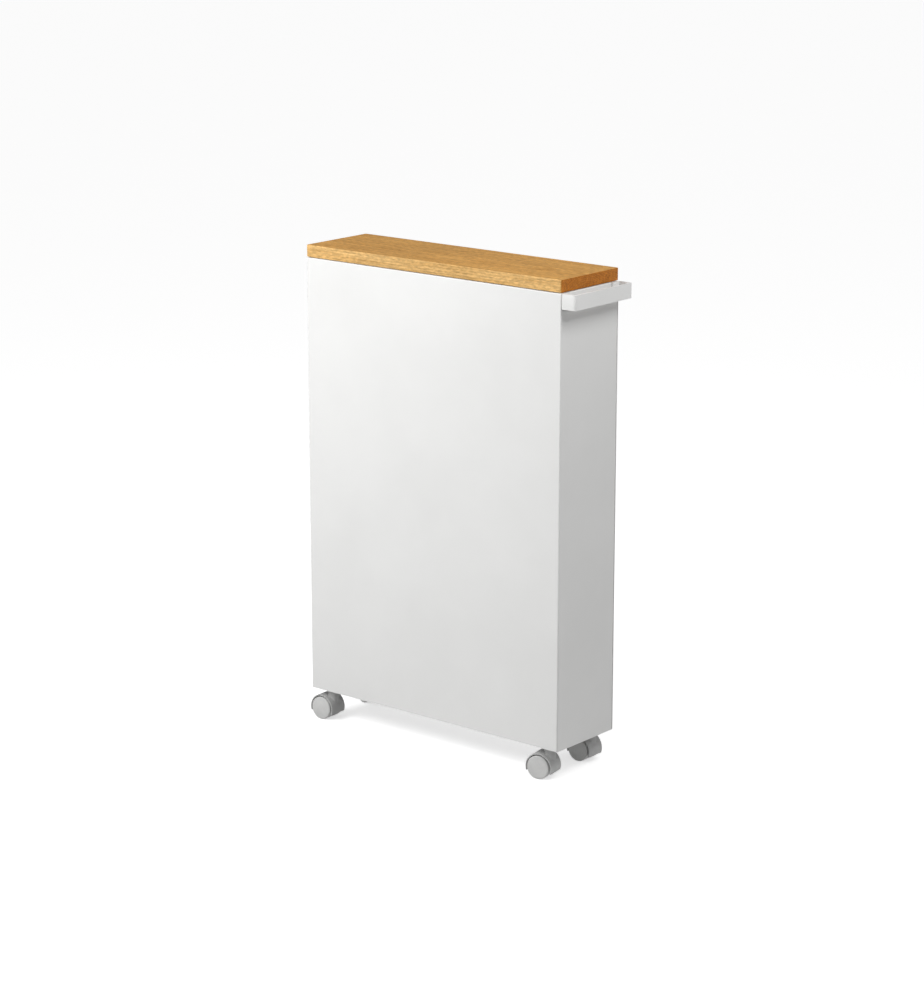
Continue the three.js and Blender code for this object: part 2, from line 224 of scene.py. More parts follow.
def joined(name, parts):
    vertices, faces = [], []
    for part in parts:
        start = len(vertices)
        vertices += [v.co.copy() for v in part.data.vertices]
        faces += [[start + i for i in face.vertices] for face in part.data.polygons]
    material = parts[0].data.materials[0]
    made = meshObject(name, vertices, faces, material)
    for part in parts:
        bpy.data.objects.remove(part)
    return made


def moved(made, matrix):
    made.data.transform(matrix)
    return made


# Skin over rows of points; rows and each row may close on themselves.
def loft(name, rows, material, closeRows=False, closeRow=True, caps=False, angle=35):
    rows = [np.asarray(row, float) for row in rows]
    count, wide = len(rows), len(rows[0])
    vertices = np.concatenate(rows)
    faces = []
    for i in range(count if closeRows else count - 1):
        a, b = i * wide, ((i + 1) % count) * wide
        for j in range(wide if closeRow else wide - 1):
            k = (j + 1) % wide
            faces.append((a + j, a + k, b + k, b + j))
    if caps and closeRow:
        faces.append(tuple(range(wide))[::-1])
        faces.append(tuple((count - 1) * wide + j for j in range(wide)))
    if caps and closeRows:
        faces.append(tuple(i * wide for i in range(count)))
        faces.append(tuple(i * wide + wide - 1 for i in range(count))[::-1])
    return meshObject(name, vertices, faces, material, angle)


# Flat outline with its corners rounded; a radius per corner, or one for all.
def filleted(points, radius, segments=5, closed=True):
    points = [np.asarray(p, float) for p in points]
    radii = radius if isinstance(radius, (list, tuple)) else [radius] * len(points)
    made = []
    for i, here in enumerate(points):
        ends = not closed and i in (0, len(points) - 1)
        if ends or radii[i] <= 0:
            made.append(here)
            continue
        before = points[i - 1] - here
        after = points[(i + 1) % len(points)] - here
        before, after = before / np.linalg.norm(before), after / np.linalg.norm(after)
        half = math.acos(max(-1, min(1, before @ after))) / 2
        reach = radii[i] / math.tan(half)
        bisector = (before + after) / np.linalg.norm(before + after)
        centre = here + bisector * radii[i] / math.sin(half)
        start, end = here + before * reach - centre, here + after * reach - centre
        sweep = math.atan2(start[0] * end[1] - start[1] * end[0], start @ end)
        for step in range(segments + 1):
            turn = sweep * step / segments
            c, s = math.cos(turn), math.sin(turn)
            made.append(centre + np.array([c * start[0] - s * start[1], s * start[0] + c * start[1]]))
    return np.array(made)


# Closed outline of a sheet of even thickness along an open line.
def sheetOutline(line, thickness):
    line = np.asarray(line, float)
    ahead = np.diff(line, axis=0)
    ahead /= np.linalg.norm(ahead, axis=1)[:, None]
    into = np.vstack([ahead[:1], ahead])
    out = np.vstack([ahead, ahead[-1:]])
    along = (into + out) / np.linalg.norm(into + out, axis=1)[:, None]
    stretch = 1 / np.maximum(0.3, (along * out).sum(axis=1))
    side = np.stack([-along[:, 1], along[:, 0]], axis=1) * stretch[:, None] * thickness / 2
    return np.vstack([line + side, (line - side)[::-1]])


# Prism of a flat outline along x, y or z; the outline is given in the other two axes, in order.
def prism(name, outline, axis, start, end, material):
    def row(at):
        outlinePoints = np.asarray(outline, float)
        return np.insert(outlinePoints, "xyz".index(axis), at, axis=1)
    return loft(name, [row(start), row(end)], material, caps=True)


# Closed loop of a rounded rectangle in plan, with the same number of points at every inset.
def planLoop(low, high, radius, inset, height, segments=6, smallest=0.4 * mm):
    r = max(radius - inset, smallest)
    x0, y0, x1, y1 = low[0] + inset, low[1] + inset, high[0] - inset, high[1] - inset
    corners = [(x0 + r, y1 - r, 90), (x0 + r, y0 + r, 180), (x1 - r, y0 + r, 270), (x1 - r, y1 - r, 0)]
    points = []
    for x, y, start in corners:
        for step in range(segments + 1):
            turn = math.radians(start + 90 * step / segments)
            points.append((x + r * math.cos(turn), y + r * math.sin(turn), height))
    return np.array(points)


# Turned piece about +Z from radius and height pairs, the first and last of which are on the axis.
def turned(name, profile, material, sides=48, angle=35):
    turns = np.linspace(0, 2 * math.pi, sides, endpoint=False)
    rows = [np.array([(r * math.cos(t), r * math.sin(t), z) for t in turns]) for r, z in profile]
    return loft(name, rows, material, angle=angle)


# Profile of a plain round bar for turned().
def drum(radius, low, high):
    return [(0, low), (radius, low), (radius, high), (0, high)]


# Turns a piece made about +Z onto the Y axis.
ontoY = Matrix.Rotation(-math.pi / 2, 4, "X")


def onBody(made, body, slot, *nodes):
    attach(made, body)
    if nodes:
        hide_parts(*nodes)
    return made


class NodeTree:
    def __init__(self, name, inputs):
        self.tree = bpy.data.node_groups.new(name, "GeometryNodeTree")
        self.tree.interface.new_socket("Geometry", in_out="INPUT", socket_type="NodeSocketGeometry")
        for label, (kind, value) in inputs.items():
            socket = self.tree.interface.new_socket(label, in_out="INPUT", socket_type=kind)
            if value is not None:
                socket.default_value = value
        self.tree.interface.new_socket("Geometry", in_out="OUTPUT", socket_type="NodeSocketGeometry")
        self.given = self.tree.nodes.new("NodeGroupInput")

    def input(self, label):
        return self.given.outputs[label]

    def node(self, kind, settings=None, sockets=None, output=0):
        made = self.tree.nodes.new(kind)
        for name, setting in (settings or {}).items():
            setattr(made, name, setting)
        for name, value in (sockets or {}).items():
            if isinstance(value, bpy.types.NodeSocket):
                self.tree.links.new(value, made.inputs[name])
            else:
                made.inputs[name].default_value = value
        return made.outputs[output]

    # every tree ends in real geometry with its material
    def finish(self, geometry, material):
        real = self.node("GeometryNodeRealizeInstances", sockets={0: geometry})
        painted = self.node("GeometryNodeSetMaterial", sockets={"Geometry": real, "Material": material})
        self.tree.links.new(painted, self.tree.nodes.new("NodeGroupOutput").inputs[0])
        return self.tree


# Runs a tree on a mesh of points or edges and keeps the result as a plain mesh.
def grown(name, source, tree, values, angle=40):
    modifier = source.modifiers.new(name, "NODES")
    modifier.node_group = tree
    for item in tree.interface.items_tree:
        if item.in_out == "INPUT" and item.name in values:
            modifier[item.identifier] = values[item.name]
    graph = bpy.context.evaluated_depsgraph_get()
    mesh = bpy.data.meshes.new_from_object(source.evaluated_get(graph))
    source.modifiers.clear()
    bpy.data.objects.remove(source)
    made = bpy.data.objects.new(name, mesh)
    scene.collection.objects.link(made)
    smoothed(mesh, angle)
    return made


def pointMesh(name, points, edges=(), directions=None):
    mesh = bpy.data.meshes.new(name)
    mesh.from_pydata([tuple(p) for p in points], list(edges), [])
    if directions is not None:
        facing = mesh.attributes.new("facing", "FLOAT_VECTOR", "POINT")
        facing.data.foreach_set("vector", np.asarray(directions, float).ravel())
    made = bpy.data.objects.new(name, mesh)
    scene.collection.objects.link(made)
    return made


powder = {
    "colour": (0.83, 0.83, 0.82),
    "shade": (0.80, 0.80, 0.79),
    "roughness": 0.42,
    "grain": 900,
}


def makePowderCoat(name, choices):
    material, graph = newMaterial(name)
    place = graph.place()
    drift = graph.noise(place, 7, 3)
    grain = graph.noise(place, choices["grain"], 2, 0.6)
    peel = graph.noise(place, choices["grain"] / 4, 1)
    colour = graph.mix(graph.remap(drift, 0.35, 0.65), choices["shade"], choices["colour"])
    speck = graph.remap(grain, 0.25, 0.75, 0.985, 1.0)
    colour = graph.mix(1.0, colour, graph.grey(speck), "MULTIPLY")
    height = peel * 0.7 + grain * 0.3
    smooth, rough = choices["roughness"] - 0.05, choices["roughness"] + 0.06
    roughness = graph.remap(grain * 0.5 + drift * 0.5, 0.3, 0.7, smooth, rough)
    graph.finish(Base_Color=colour, Roughness=roughness, Normal=graph.bump(height, 0.25, 0.00012))
    return material


oak = {
    "early": (0.74, 0.405, 0.115),
    "late": (0.47, 0.215, 0.040),
    "pore": (0.16, 0.065, 0.016),
    # painted light: the long edges of the board are painted paler, standing in for the light on its
    # front edge
    "paintedEdgeLight": (1.12, 1.31, 1.85),
    "endTint": (0.76, 0.51, 0.25),
    "ringsPerMetre": 300,
    "fleckDark": 0.82,
    "fleckPale": 1.15,
    "pithDepth": 0.085,
    "roughness": 0.5,
}


def makeOak(name, choices):
    material, graph = newMaterial(name)
    # slow waves along the board bend the rings into long arches
    waves = graph.noise(graph.place((2.6, 9, 9)), 1, 2)
    wander = graph.noise(graph.place((5, 60, 60)), 1, 3)
    x, y, z = graph.axes()
    down = z - (lidHigh[2] - choices["pithDepth"]) + (waves - 0.5) * 0.04
    across = y - middleY + 0.012 + (waves - 0.5) * 0.05
    distance = (across * across + down * down).maths("SQRT") + (wander - 0.5) * 0.006
    phase = (distance * choices["ringsPerMetre"]).maths("FRACT")
    bands = [(0.0, (0, 0, 0)), (0.55, (0.3, 0.3, 0.3)), (0.88, (1, 1, 1)), (1.0, (0, 0, 0))]
    rings = graph.node("ShaderNodeValToRGB", {"stops": bands}, {0: phase})
    rings = graph.node("ShaderNodeRGBToBW", sockets={0: rings})
    # fibres, streaks and pores run along the board
    fibres = graph.noise(graph.place((22, 700, 700)), 1, 3, 0.65)
    streaks = graph.noise(graph.place((7, 210, 210)), 1, 3, 0.6)
    patches = graph.noise(graph.place((5, 16, 16)), 1, 2)
    flecks = graph.noise(graph.place((110, 300, 300)), 1, 2, 0.6)
    vessels = graph.noise(graph.place((90, 1500, 1500)), 1, 1)
    pores = graph.remap(vessels, 0.58, 0.68) * (0.3 + rings * 0.7)
    lateness = rings * 0.45 + graph.remap(streaks, 0.35, 0.65) * 0.4
    grain = graph.mix(lateness, choices["early"], choices["late"])
    tone = graph.remap(fibres, 0.25, 0.75, 0.8, 1.12) * graph.remap(patches, 0.3, 0.7, 0.92, 1.06)
    tone = tone * graph.remap(flecks, 0.36, 0.64, choices["fleckDark"], choices["fleckPale"])
    colour = graph.mix(1.0, grain, graph.grey(tone), "MULTIPLY")
    colour = graph.mix(pores * 0.6, colour, choices["pore"])
    # the long edges are painted paler: painted light standing in for the light that falls on the front
    # edge; the cut ends drink more oil and turn darker
    halfLength, halfDepth = (lidHigh[0] - lidLow[0]) / 2, (lidHigh[1] - lidLow[1]) / 2
    fromX, fromY = (x - middleX).maths("ABSOLUTE"), (y - middleY).maths("ABSOLUTE")
    ends = graph.remap(fromX, halfLength - 0.9 * mm, halfLength - 0.3 * mm)
    edges = graph.remap(fromY, halfDepth - 0.9 * mm, halfDepth - 0.3 * mm)
    litEdgeColour = graph.mix(1.0, colour, choices["paintedEdgeLight"], "MULTIPLY")
    colour = graph.mix(edges * (1 - ends), colour, litEdgeColour)
    colour = graph.mix(ends, colour, graph.mix(1.0, colour, choices["endTint"], "MULTIPLY"))
    height = fibres * 0.4 + rings * 0.2 - pores * 0.9
    smooth, rough = choices["roughness"] - 0.06, choices["roughness"] + 0.15
    roughness = graph.remap(fibres + pores * 0.5, 0.3, 1.0, smooth, rough)
    graph.finish(Base_Color=colour, Roughness=roughness, Normal=graph.bump(height, 0.6, 0.00025))
    graph.finish(Specular_IOR_Level=0.15)
    return material


def makePlastic(name, colour, roughness, grainScale=1400):
    material, graph = newMaterial(name)
    place = graph.place()
    grain = graph.noise(place, grainScale, 2, 0.6)
    clouds = graph.noise(place, 45, 3)
    scuffs = graph.remap(graph.noise(graph.place((220, 60, 220)), 1, 4, 0.7), 0.56, 0.75)
    darker = tuple(0.86 * c for c in colour)
    tone = graph.mix(graph.remap(clouds, 0.3, 0.7), darker, colour)
    tone = graph.mix(scuffs * 0.18, tone, tuple(0.6 * c for c in colour))
    graph.finish(
        Base_Color=tone,
        Roughness=graph.remap(grain + scuffs * 0.4, 0.3, 1.1, roughness - 0.05, roughness + 0.16),
        Normal=graph.bump(grain * 0.6 + clouds * 0.2, 0.3, 0.00008),
    )
    return material


def makeZinc(name):
    material, graph = newMaterial(name)
    place = graph.place()
    cells = {"Vector": place, "Scale": 420}
    flakes = graph.node("ShaderNodeTexVoronoi", {"feature": "F1"}, cells, output="Color")
    flake = graph.node("ShaderNodeRGBToBW", sockets={0: flakes})
    fine = graph.noise(place, 2600, 2)
    stain = graph.noise(place, 130, 3)
    colour = graph.mix(flake * 0.5 + stain * 0.3, (0.62, 0.63, 0.64), (0.48, 0.49, 0.50))
    graph.finish(
        Base_Color=colour,
        Roughness=graph.remap(flake * 0.4 + stain * 0.6, 0.2, 0.8, 0.24, 0.42),
        Normal=graph.bump(fine, 0.2, 0.00005),
        Metallic=1.0,
    )
    return material


canvas = {
    "thread": (0.70, 0.64, 0.53),
    "gap": (0.42, 0.37, 0.29),
    "bleached": (0.76, 0.72, 0.63),
    "threadsPerMetre": 900,
}


# The weave follows the cloth: its map is in metres round and down the bag.
def makeCanvas(name, choices):
    material, graph = newMaterial(name)
    u, v, _ = graph.axes("UV")
    wobble = (graph.noise(graph.place(source="UV"), 60, 2) - 0.5) * 0.0006
    turns = 2 * math.pi * choices["threadsPerMetre"] / 2
    warp = ((u + wobble) * turns).maths("SINE")
    weft = ((v + wobble) * turns).maths("SINE")
    over = warp * weft * 0.5 + 0.5
    slub = graph.noise(graph.place((1400, 60, 1), source="UV"), 1, 2)
    slubDown = graph.noise(graph.place((60, 1400, 1), source="UV"), 1, 2)
    thread = slub * 0.5 + slubDown * 0.5
    clouds = graph.noise(graph.place(), 14, 3)
    colour = graph.mix(over * 0.45 + thread * 0.3, choices["thread"], choices["gap"])
    colour = graph.mix(graph.remap(clouds, 0.3, 0.7, 0.0, 0.22), colour, choices["bleached"])
    graph.finish(
        Base_Color=colour,
        Roughness=graph.remap(thread, 0.3, 0.7, 0.85, 0.97),
        Normal=graph.bump(over * 0.6 + thread * 0.5, 0.6, 0.0003),
    )
    graph.finish(Sheen_Weight=0.25, Sheen_Roughness=0.5)
    return material


def makeThread(name):
    material, graph = newMaterial(name)
    twist = graph.noise(graph.place((3000, 3000, 3000)), 1, 2)
    colour = graph.mix(twist, (0.72, 0.68, 0.60), (0.88, 0.86, 0.80))
    graph.finish(Base_Color=colour, Roughness=0.8, Normal=graph.bump(twist, 0.4, 0.0001))
    return material


# Ribs run across the strap.
def makeWebbing(name):
    material, graph = newMaterial(name)
    x, y, z = graph.axes()
    ribs = ((z + x * 0.7) * 2 * math.pi * 620).maths("SINE") * 0.5 + 0.5
    warp = (y * 2 * math.pi * 1100).maths("SINE") * 0.5 + 0.5
    fuzz = graph.noise(graph.place(), 900, 3, 0.7)
    colour = graph.mix(ribs * 0.4 + fuzz * 0.5, (0.74, 0.69, 0.58), (0.46, 0.41, 0.32))
    graph.finish(
        Base_Color=colour,
        Roughness=graph.remap(fuzz, 0.3, 0.7, 0.78, 0.95),
        Normal=graph.bump(ribs * 0.7 + warp * 0.3 + fuzz * 0.3, 0.7, 0.0004),
    )
    return material


def makeRubber(name):
    material, graph = newMaterial(name)
    cloud = graph.noise(graph.place(), 500, 2)
    colour = graph.mix(cloud, (0.66, 0.66, 0.62), (0.78, 0.78, 0.75))
    roughness = graph.remap(cloud, 0.3, 0.7, 0.35, 0.5)
    graph.finish(Base_Color=colour, Roughness=roughness, Normal=graph.bump(cloud, 0.2, 0.00005))
    return material


whitePaint = makePowderCoat("white powder coat", powder)
wireCoat = makePowderCoat("white wire coat", {**powder, "colour": (0.80, 0.80, 0.79), "roughness": 0.3})
oiledOak = makeOak("oiled light oak", oak)
# painted shade: the hood is the same light grey nylon as the wheels, painted darker to stand in for the
# shade on it
shadedHoodNylon = makePlastic("hood nylon painted darker as shade", (0.54, 0.54, 0.535), 0.45)
wheelNylon = makePlastic("light wheel nylon", (0.69, 0.69, 0.68), 0.4)
zinc = makeZinc("zinc plated steel")
cottonCanvas = makeCanvas("undyed canvas", canvas)
cottonThread = makeThread("cotton thread")
webbing = makeWebbing("cotton webbing")
paleRubber = makeRubber("pale rubber")
print("materials made")


sheetMetal = {
    "thickness": 1.0 * mm,
    "cornerBend": 2.0 * mm,
    "flangeBend": 1.6 * mm,
    "flange": 11 * mm,
    "returnWidth": 14 * mm,
    "lipOverlap": 12 * mm,
    "lipGap": 0.3 * mm,
    "innerBend": 1.3 * mm,
    "edge": 0.25 * mm,
    "panThickness": 1.5 * mm,
    "panBend": 3 * mm,
    "stemHole": 4.3 * mm,
}


# Profile of a wall whose top edge is folded in: (inset, height) pairs round the sheet.
def wallProfile(bottom, top, choices):
    t = choices["thickness"]
    line = [(t / 2, bottom), (t / 2, top - t / 2), (choices["flange"], top - t / 2)]
    line = filleted(line, [0, choices["flangeBend"] - t / 2, 0], 5, closed=False)
    return sheetOutline(line, t)


def makeWrapPanel(choices):
    rows = []
    for inset, height in wallProfile(shellLow[2], shellHigh[2], choices):
        loop = planLoop(shellLow, shellHigh, choices["cornerBend"], inset, height)
        first = (shellLow[0] + choices["returnWidth"], shellHigh[1] - inset, height)
        last = (shellHigh[0] - choices["returnWidth"], shellHigh[1] - inset, height)
        rows.append(np.vstack([first, loop, last]))
    made = loft("wrap_panel_folded", rows, whitePaint, closeRows=True, closeRow=False, caps=True)
    softened(made, choices["edge"], 2, 50)
    return onBody(made, "cabinet", "white_powder_coat", "wrap_panel")


def makeBackPanel(choices):
    t = choices["thickness"]
    wall, top = rearHigh[1] - t / 2, rearHigh[2] - t / 2
    outline = sheetOutline([(wall, rearLow[2]), (wall, top)], t)
    flat = prism("back_panel_flat", outline, "x", rearLow[0], rearHigh[0], whitePaint)
    fold = [(wall, rearHigh[2] - choices["lipOverlap"]), (wall, top)]
    fold += [(rearHigh[1] - choices["flange"], top)]
    fold = filleted(fold, [0, choices["flangeBend"] - t / 2, 0], 5, closed=False)
    edge = choices["returnWidth"] + choices["lipGap"]
    start, end = rearLow[0] + edge, rearHigh[0] - edge
    lip = prism("back_panel_lip", sheetOutline(fold, t), "x", start, end, whitePaint)
    boolean(flat, lip, "UNION")
    softened(flat, choices["edge"], 2, 50)
    return onBody(flat, "cabinet", "white_powder_coat", "back_panel")


def makeBasePan(choices):
    low, high = boxOf("base_pan")
    t, half = choices["panThickness"], (high[1] - low[1]) / 2
    line = [(half - 2 * mm, t / 2), (t / 2, t / 2), (t / 2, high[2] - low[2])]
    line = filleted(line, [0, choices["panBend"] - t / 2, 0], 6, closed=False)
    bend, outline = choices["panBend"], sheetOutline(line, t)
    rows = [planLoop(low, high, bend, inset, low[2] + height) for inset, height in outline]
    made = loft("base_pan_folded", rows, whitePaint, caps=True)
    for place in places:
        stemX, stemY, _ = jointNamed(f"caster_swivel_{place}")["pos_m"]
        hole = turned("hole", drum(choices["stemHole"], -5 * mm, 5 * mm), whitePaint, 32)
        boolean(made, moved(hole, Matrix.Translation((stemX, stemY, low[2]))), "DIFFERENCE")
    softened(made, choices["edge"], 2, 50)
    return onBody(made, "cabinet", "white_powder_coat", "base_pan")


def makeDivider(choices):
    low, high = boxOf("divider_panel")
    t = choices["thickness"]
    x0, x1 = low[0] + t / 2, high[0]
    y0, y1 = low[1] + t / 2, high[1] - t / 2
    bend = choices["innerBend"]
    line = filleted([(x1, y0), (x0, y0), (x0, y1), (x1, y1)], [0, bend, bend, 0], 5, closed=False)
    made = prism("divider_panel_folded", sheetOutline(line, t), "z", low[2], high[2], whitePaint)
    softened(made, choices["edge"], 2, 50)
    return onBody(made, "cabinet", "white_powder_coat", "divider_panel")


def makeRail(node, wallSide, choices):
    low, high = boxOf(node)
    t = choices["thickness"]
    wall = low[1] + t / 2 if wallSide < 0 else high[1] - t / 2
    lip = high[1] if wallSide < 0 else low[1]
    line = [(lip, low[2] + t / 2), (wall, low[2] + t / 2), (wall, high[2])]
    line = filleted(line, [0, choices["innerBend"], 0], 5, closed=False)
    made = prism(node + "_folded", sheetOutline(line, t), "x", low[0], high[0], whitePaint)
    softened(made, choices["edge"], 2, 50)
    return onBody(made, "cabinet", "white_powder_coat", node)


makeWrapPanel(sheetMetal)
makeBackPanel(sheetMetal)
makeBasePan(sheetMetal)
makeDivider(sheetMetal)
makeRail("bag_rail_front", -1, sheetMetal)
makeRail("bag_rail_back", 1, sheetMetal)
print("cabinet sheets made")


# Domed pop rivets along the edges of the back panel.
rivets = {
    "headRadius": 2.6 * mm,
    "headHeight": 0.9 * mm,
    "spacing": 92 * mm,
    "inset": 7 * mm,
    "endGap": 16 * mm,
    "bottomInset": 53 * mm,
}


def rivetTree(material):
    tree = NodeTree("rivets along edges", {
        "Spacing": ("NodeSocketFloat", 0.09),
        "Head radius": ("NodeSocketFloat", 0.0026),
        "Head height": ("NodeSocketFloat", 0.0009),
    })
    curve = tree.node("GeometryNodeMeshToCurve", sockets={0: tree.input("Geometry")})
    spaced = {"Curve": curve, "Length": tree.input("Spacing")}
    even = tree.node("GeometryNodeResampleCurve", {"mode": "LENGTH"}, spaced)
    dome = tree.node("GeometryNodeMeshUVSphere", sockets={"Segments": 20, "Rings": 10, "Radius": 1.0})
    radius, height = tree.input("Head radius"), tree.input("Head height")
    size = tree.node("ShaderNodeCombineXYZ", sockets={0: radius, 1: height, 2: radius})
    dome = tree.node("GeometryNodeTransform", sockets={"Geometry": dome, "Scale": size})
    placed = tree.node("GeometryNodeInstanceOnPoints", sockets={"Points": even, "Instance": dome})
    return tree.finish(placed, material)


def makeRivets(choices):
    inset, y = choices["inset"], rearHigh[1]
    x0, x1 = rearLow[0] + inset, rearHigh[0] - inset
    z0, z1 = rearLow[2] + choices["endGap"], rearHigh[2] - choices["endGap"]
    points = [(x0, y, z0), (x0, y, z1), (x1, y, z0), (x1, y, z1)]
    low, inward = rearLow[2] + inset, choices["bottomInset"]
    points += [(rearLow[0] + inward, y, low), (rearHigh[0] - inward, y, low)]
    source = pointMesh("rivet lines", points, [(0, 1), (2, 3), (4, 5)])
    values = {
        "Spacing": choices["spacing"],
        "Head radius": choices["headRadius"],
        "Head height": choices["headHeight"],
    }
    made = grown("back_rivets", source, rivetTree(whitePaint), values)
    return onBody(made, "cabinet", "white_powder_coat")


makeRivets(rivets)


pull = {
    "thickness": 3 * mm,
    "outerBend": 4.5 * mm,
    "footBend": 3 * mm,
    "foot": 18 * mm,
    "edge": 0.9 * mm,
}


def makeHandle(choices):
    low, high = boxOf("handle_band")
    t = choices["thickness"]
    x0, x1 = low[0] + t / 2, high[0] - t / 2
    y0, y1 = low[1] + t / 2, high[1] - t / 2
    line = [
        (x0, low[1] + choices["foot"]), (x0, y0), (x1, y0),
        (x1, y1), (x0, y1), (x0, high[1] - choices["foot"]),
    ]
    footBend, outerBend = choices["footBend"] - t / 2, choices["outerBend"] - t / 2
    line = filleted(line, [0, footBend, outerBend, outerBend, footBend, 0], 10, closed=False)
    made = prism("handle_band_bent", sheetOutline(line, t), "z", low[2], high[2], whitePaint)
    softened(made, choices["edge"], 4, 50)
    return onBody(made, "cabinet", "white_powder_coat", "handle_band")


makeHandle(pull)
print("handle made")


def threaded(shankRadius, length, pitch, tip):
    profile, z = [(0, -length)], -length + tip
    profile.append((shankRadius * 0.45, -length))
    while z < -pitch:
        profile += [(shankRadius * 0.84, z), (shankRadius, z + pitch / 2)]
        z += pitch
    return profile + [(shankRadius * 0.9, 0)]


def makeScrewShape(name, choices):
    head, height = choices["headRadius"], choices["headHeight"]
    dome = [(head, 0), (head, height * 0.35)]
    for step in range(1, 7):
        turn = math.radians(15 * step)
        dome.append((head * math.cos(turn) if step < 6 else 0, height * (0.35 + 0.65 * math.sin(turn))))
    shank = threaded(choices["shankRadius"], choices["length"], choices["pitch"], choices["tip"])
    screw = turned(name, shank + dome, zinc, 20)
    for turn in (0, 90):
        w, reach = head * 0.13, head * 0.5
        outline = [(-reach, -w), (reach, -w), (reach, w), (-reach, w)]
        slot = prism("slot", outline, "z", height * 0.42, height * 1.5, zinc)
        boolean(screw, moved(slot, Matrix.Rotation(math.radians(turn + 20), 4, "Z")), "DIFFERENCE")
    return screw


def fastenerTree(shape, material):
    tree = NodeTree("fasteners on points", {
        "Size": ("NodeSocketFloat", 1.0),
        "Seed": ("NodeSocketInt", 3),
    })
    form = tree.node("GeometryNodeObjectInfo", sockets={"Object": shape}, output="Geometry")
    kind = {"data_type": "FLOAT_VECTOR"}
    facing = tree.node("GeometryNodeInputNamedAttribute", kind, {"Name": "facing"})
    aim = tree.node("FunctionNodeAlignRotationToVector", {"axis": "Z"}, {"Vector": facing})
    span = {2: 0.0, 3: 1.5, "Seed": tree.input("Seed")}
    turn = tree.node("FunctionNodeRandomValue", {"data_type": "FLOAT"}, span, output=1)
    spin = tree.node("FunctionNodeAxisAngleToRotation", sockets={"Axis": (0, 0, 1), "Angle": turn})
    aim = tree.node("FunctionNodeRotateRotation", {"rotation_space": "LOCAL"}, {0: aim, 1: spin})
    placed = tree.node("GeometryNodeInstanceOnPoints", sockets={
        "Points": tree.node("GeometryNodeMeshToPoints", sockets={0: tree.input("Geometry")}),
        "Instance": form, "Rotation": aim, "Scale": tree.input("Size"),
    })
    return tree.finish(placed, material)


# One mesh of equal fasteners that stand for some CAD nodes; each points the way its head faces.
def makeFasteners(name, shape, nodes, facing, seatAt, body):
    points = []
    for node in nodes:
        low, high = boxOf(node)
        centre = (low + high) / 2
        axis = int(np.argmax(np.abs(facing)))
        centre[axis] = seatAt(low[axis], high[axis])
        points.append(centre)
    source = pointMesh(name + " places", points, directions=[facing] * len(points))
    made = grown(name, source, fastenerTree(shape, zinc), {"Size": 1.0, "Seed": len(nodes)})
    return onBody(made, body, "zinc_steel", *nodes)


hingeScrew = {
    "headRadius": 2.7 * mm,
    "headHeight": 1.4 * mm,
    "shankRadius": 1.5 * mm,
    "length": 11 * mm,
    "pitch": 0.8 * mm,
    "tip": 1.6 * mm,
}
handleScrew = {
    "headRadius": 3.6 * mm,
    "headHeight": 2.4 * mm,
    "shankRadius": 2.0 * mm,
    "length": 13 * mm,
    "pitch": 0.7 * mm,
    "tip": 0.5 * mm,
}
handleNut = {"acrossFlats": 7 * mm, "bore": 2.05 * mm, "thickness": 3.2 * mm}
casterNut = {"acrossFlats": 13 * mm, "bore": 4.05 * mm, "thickness": 6.5 * mm}


def makeNutShape(name, choices):
    acrossFlats, thickness = choices["acrossFlats"], choices["thickness"]
    corner, across = acrossFlats / math.sqrt(3), acrossFlats / 2
    turns = [math.radians(60 * i) for i in range(6)]
    hexagon = [(corner * math.cos(turn), corner * math.sin(turn)) for turn in turns]
    nut = prism(name, hexagon, "z", 0, thickness, zinc)
    face, wide = across * 0.98, corner * 1.01
    cone = [(0, 0), (face, 0), (wide, thickness * 0.14)]
    cone += [(wide, thickness * 0.86), (face, thickness), (0, thickness)]
    boolean(nut, turned("chamfer", cone, zinc, 48), "INTERSECT")
    hole = turned("hole", drum(choices["bore"], -thickness, 2 * thickness), zinc, 32)
    return boolean(nut, hole, "DIFFERENCE")


def makeScrews():
    screw = makeScrewShape("hinge screw", hingeScrew)
    seat = lambda low, high: high - hingeScrew["headHeight"]
    for leaf, body, numbers in (("body", "cabinet", (1, 2, 5, 6)), ("lid", "lid", (3, 4, 7, 8))):
        nodes = [f"hinge_{leaf}_screw_{i}" for i in numbers]
        makeFasteners(f"hinge_screws_{leaf}", screw, nodes, (0, 1, 0), seat, body)
    bpy.data.objects.remove(screw)

    bolt = makeScrewShape("handle screw", handleScrew)
    seat = lambda low, high: high - handleScrew["headHeight"]
    nodes = ["handle_screw_front", "handle_screw_back"]
    makeFasteners("handle_screws", bolt, nodes, (1, 0, 0), seat, "cabinet")
    bpy.data.objects.remove(bolt)

    nut = makeNutShape("handle nut", handleNut)
    nodes = ["handle_nut_front", "handle_nut_back"]
    makeFasteners("handle_nuts", nut, nodes, (-1, 0, 0), lambda low, high: high, "cabinet")
    bpy.data.objects.remove(nut)

    big = makeNutShape("caster nut", casterNut)
    nodes = ["caster_nut_" + place for place in places]
    makeFasteners("caster_nuts", big, nodes, (0, 0, 1), lambda low, high: low, "cabinet")
    bpy.data.objects.remove(big)


makeScrews()
print("fasteners made")


lid = {
    "cornerRadius": 3 * mm,
    "edge": 0.8 * mm,
    "seatRadius": 3.5 * mm,
    "seatDepth": 2.6 * mm,
}


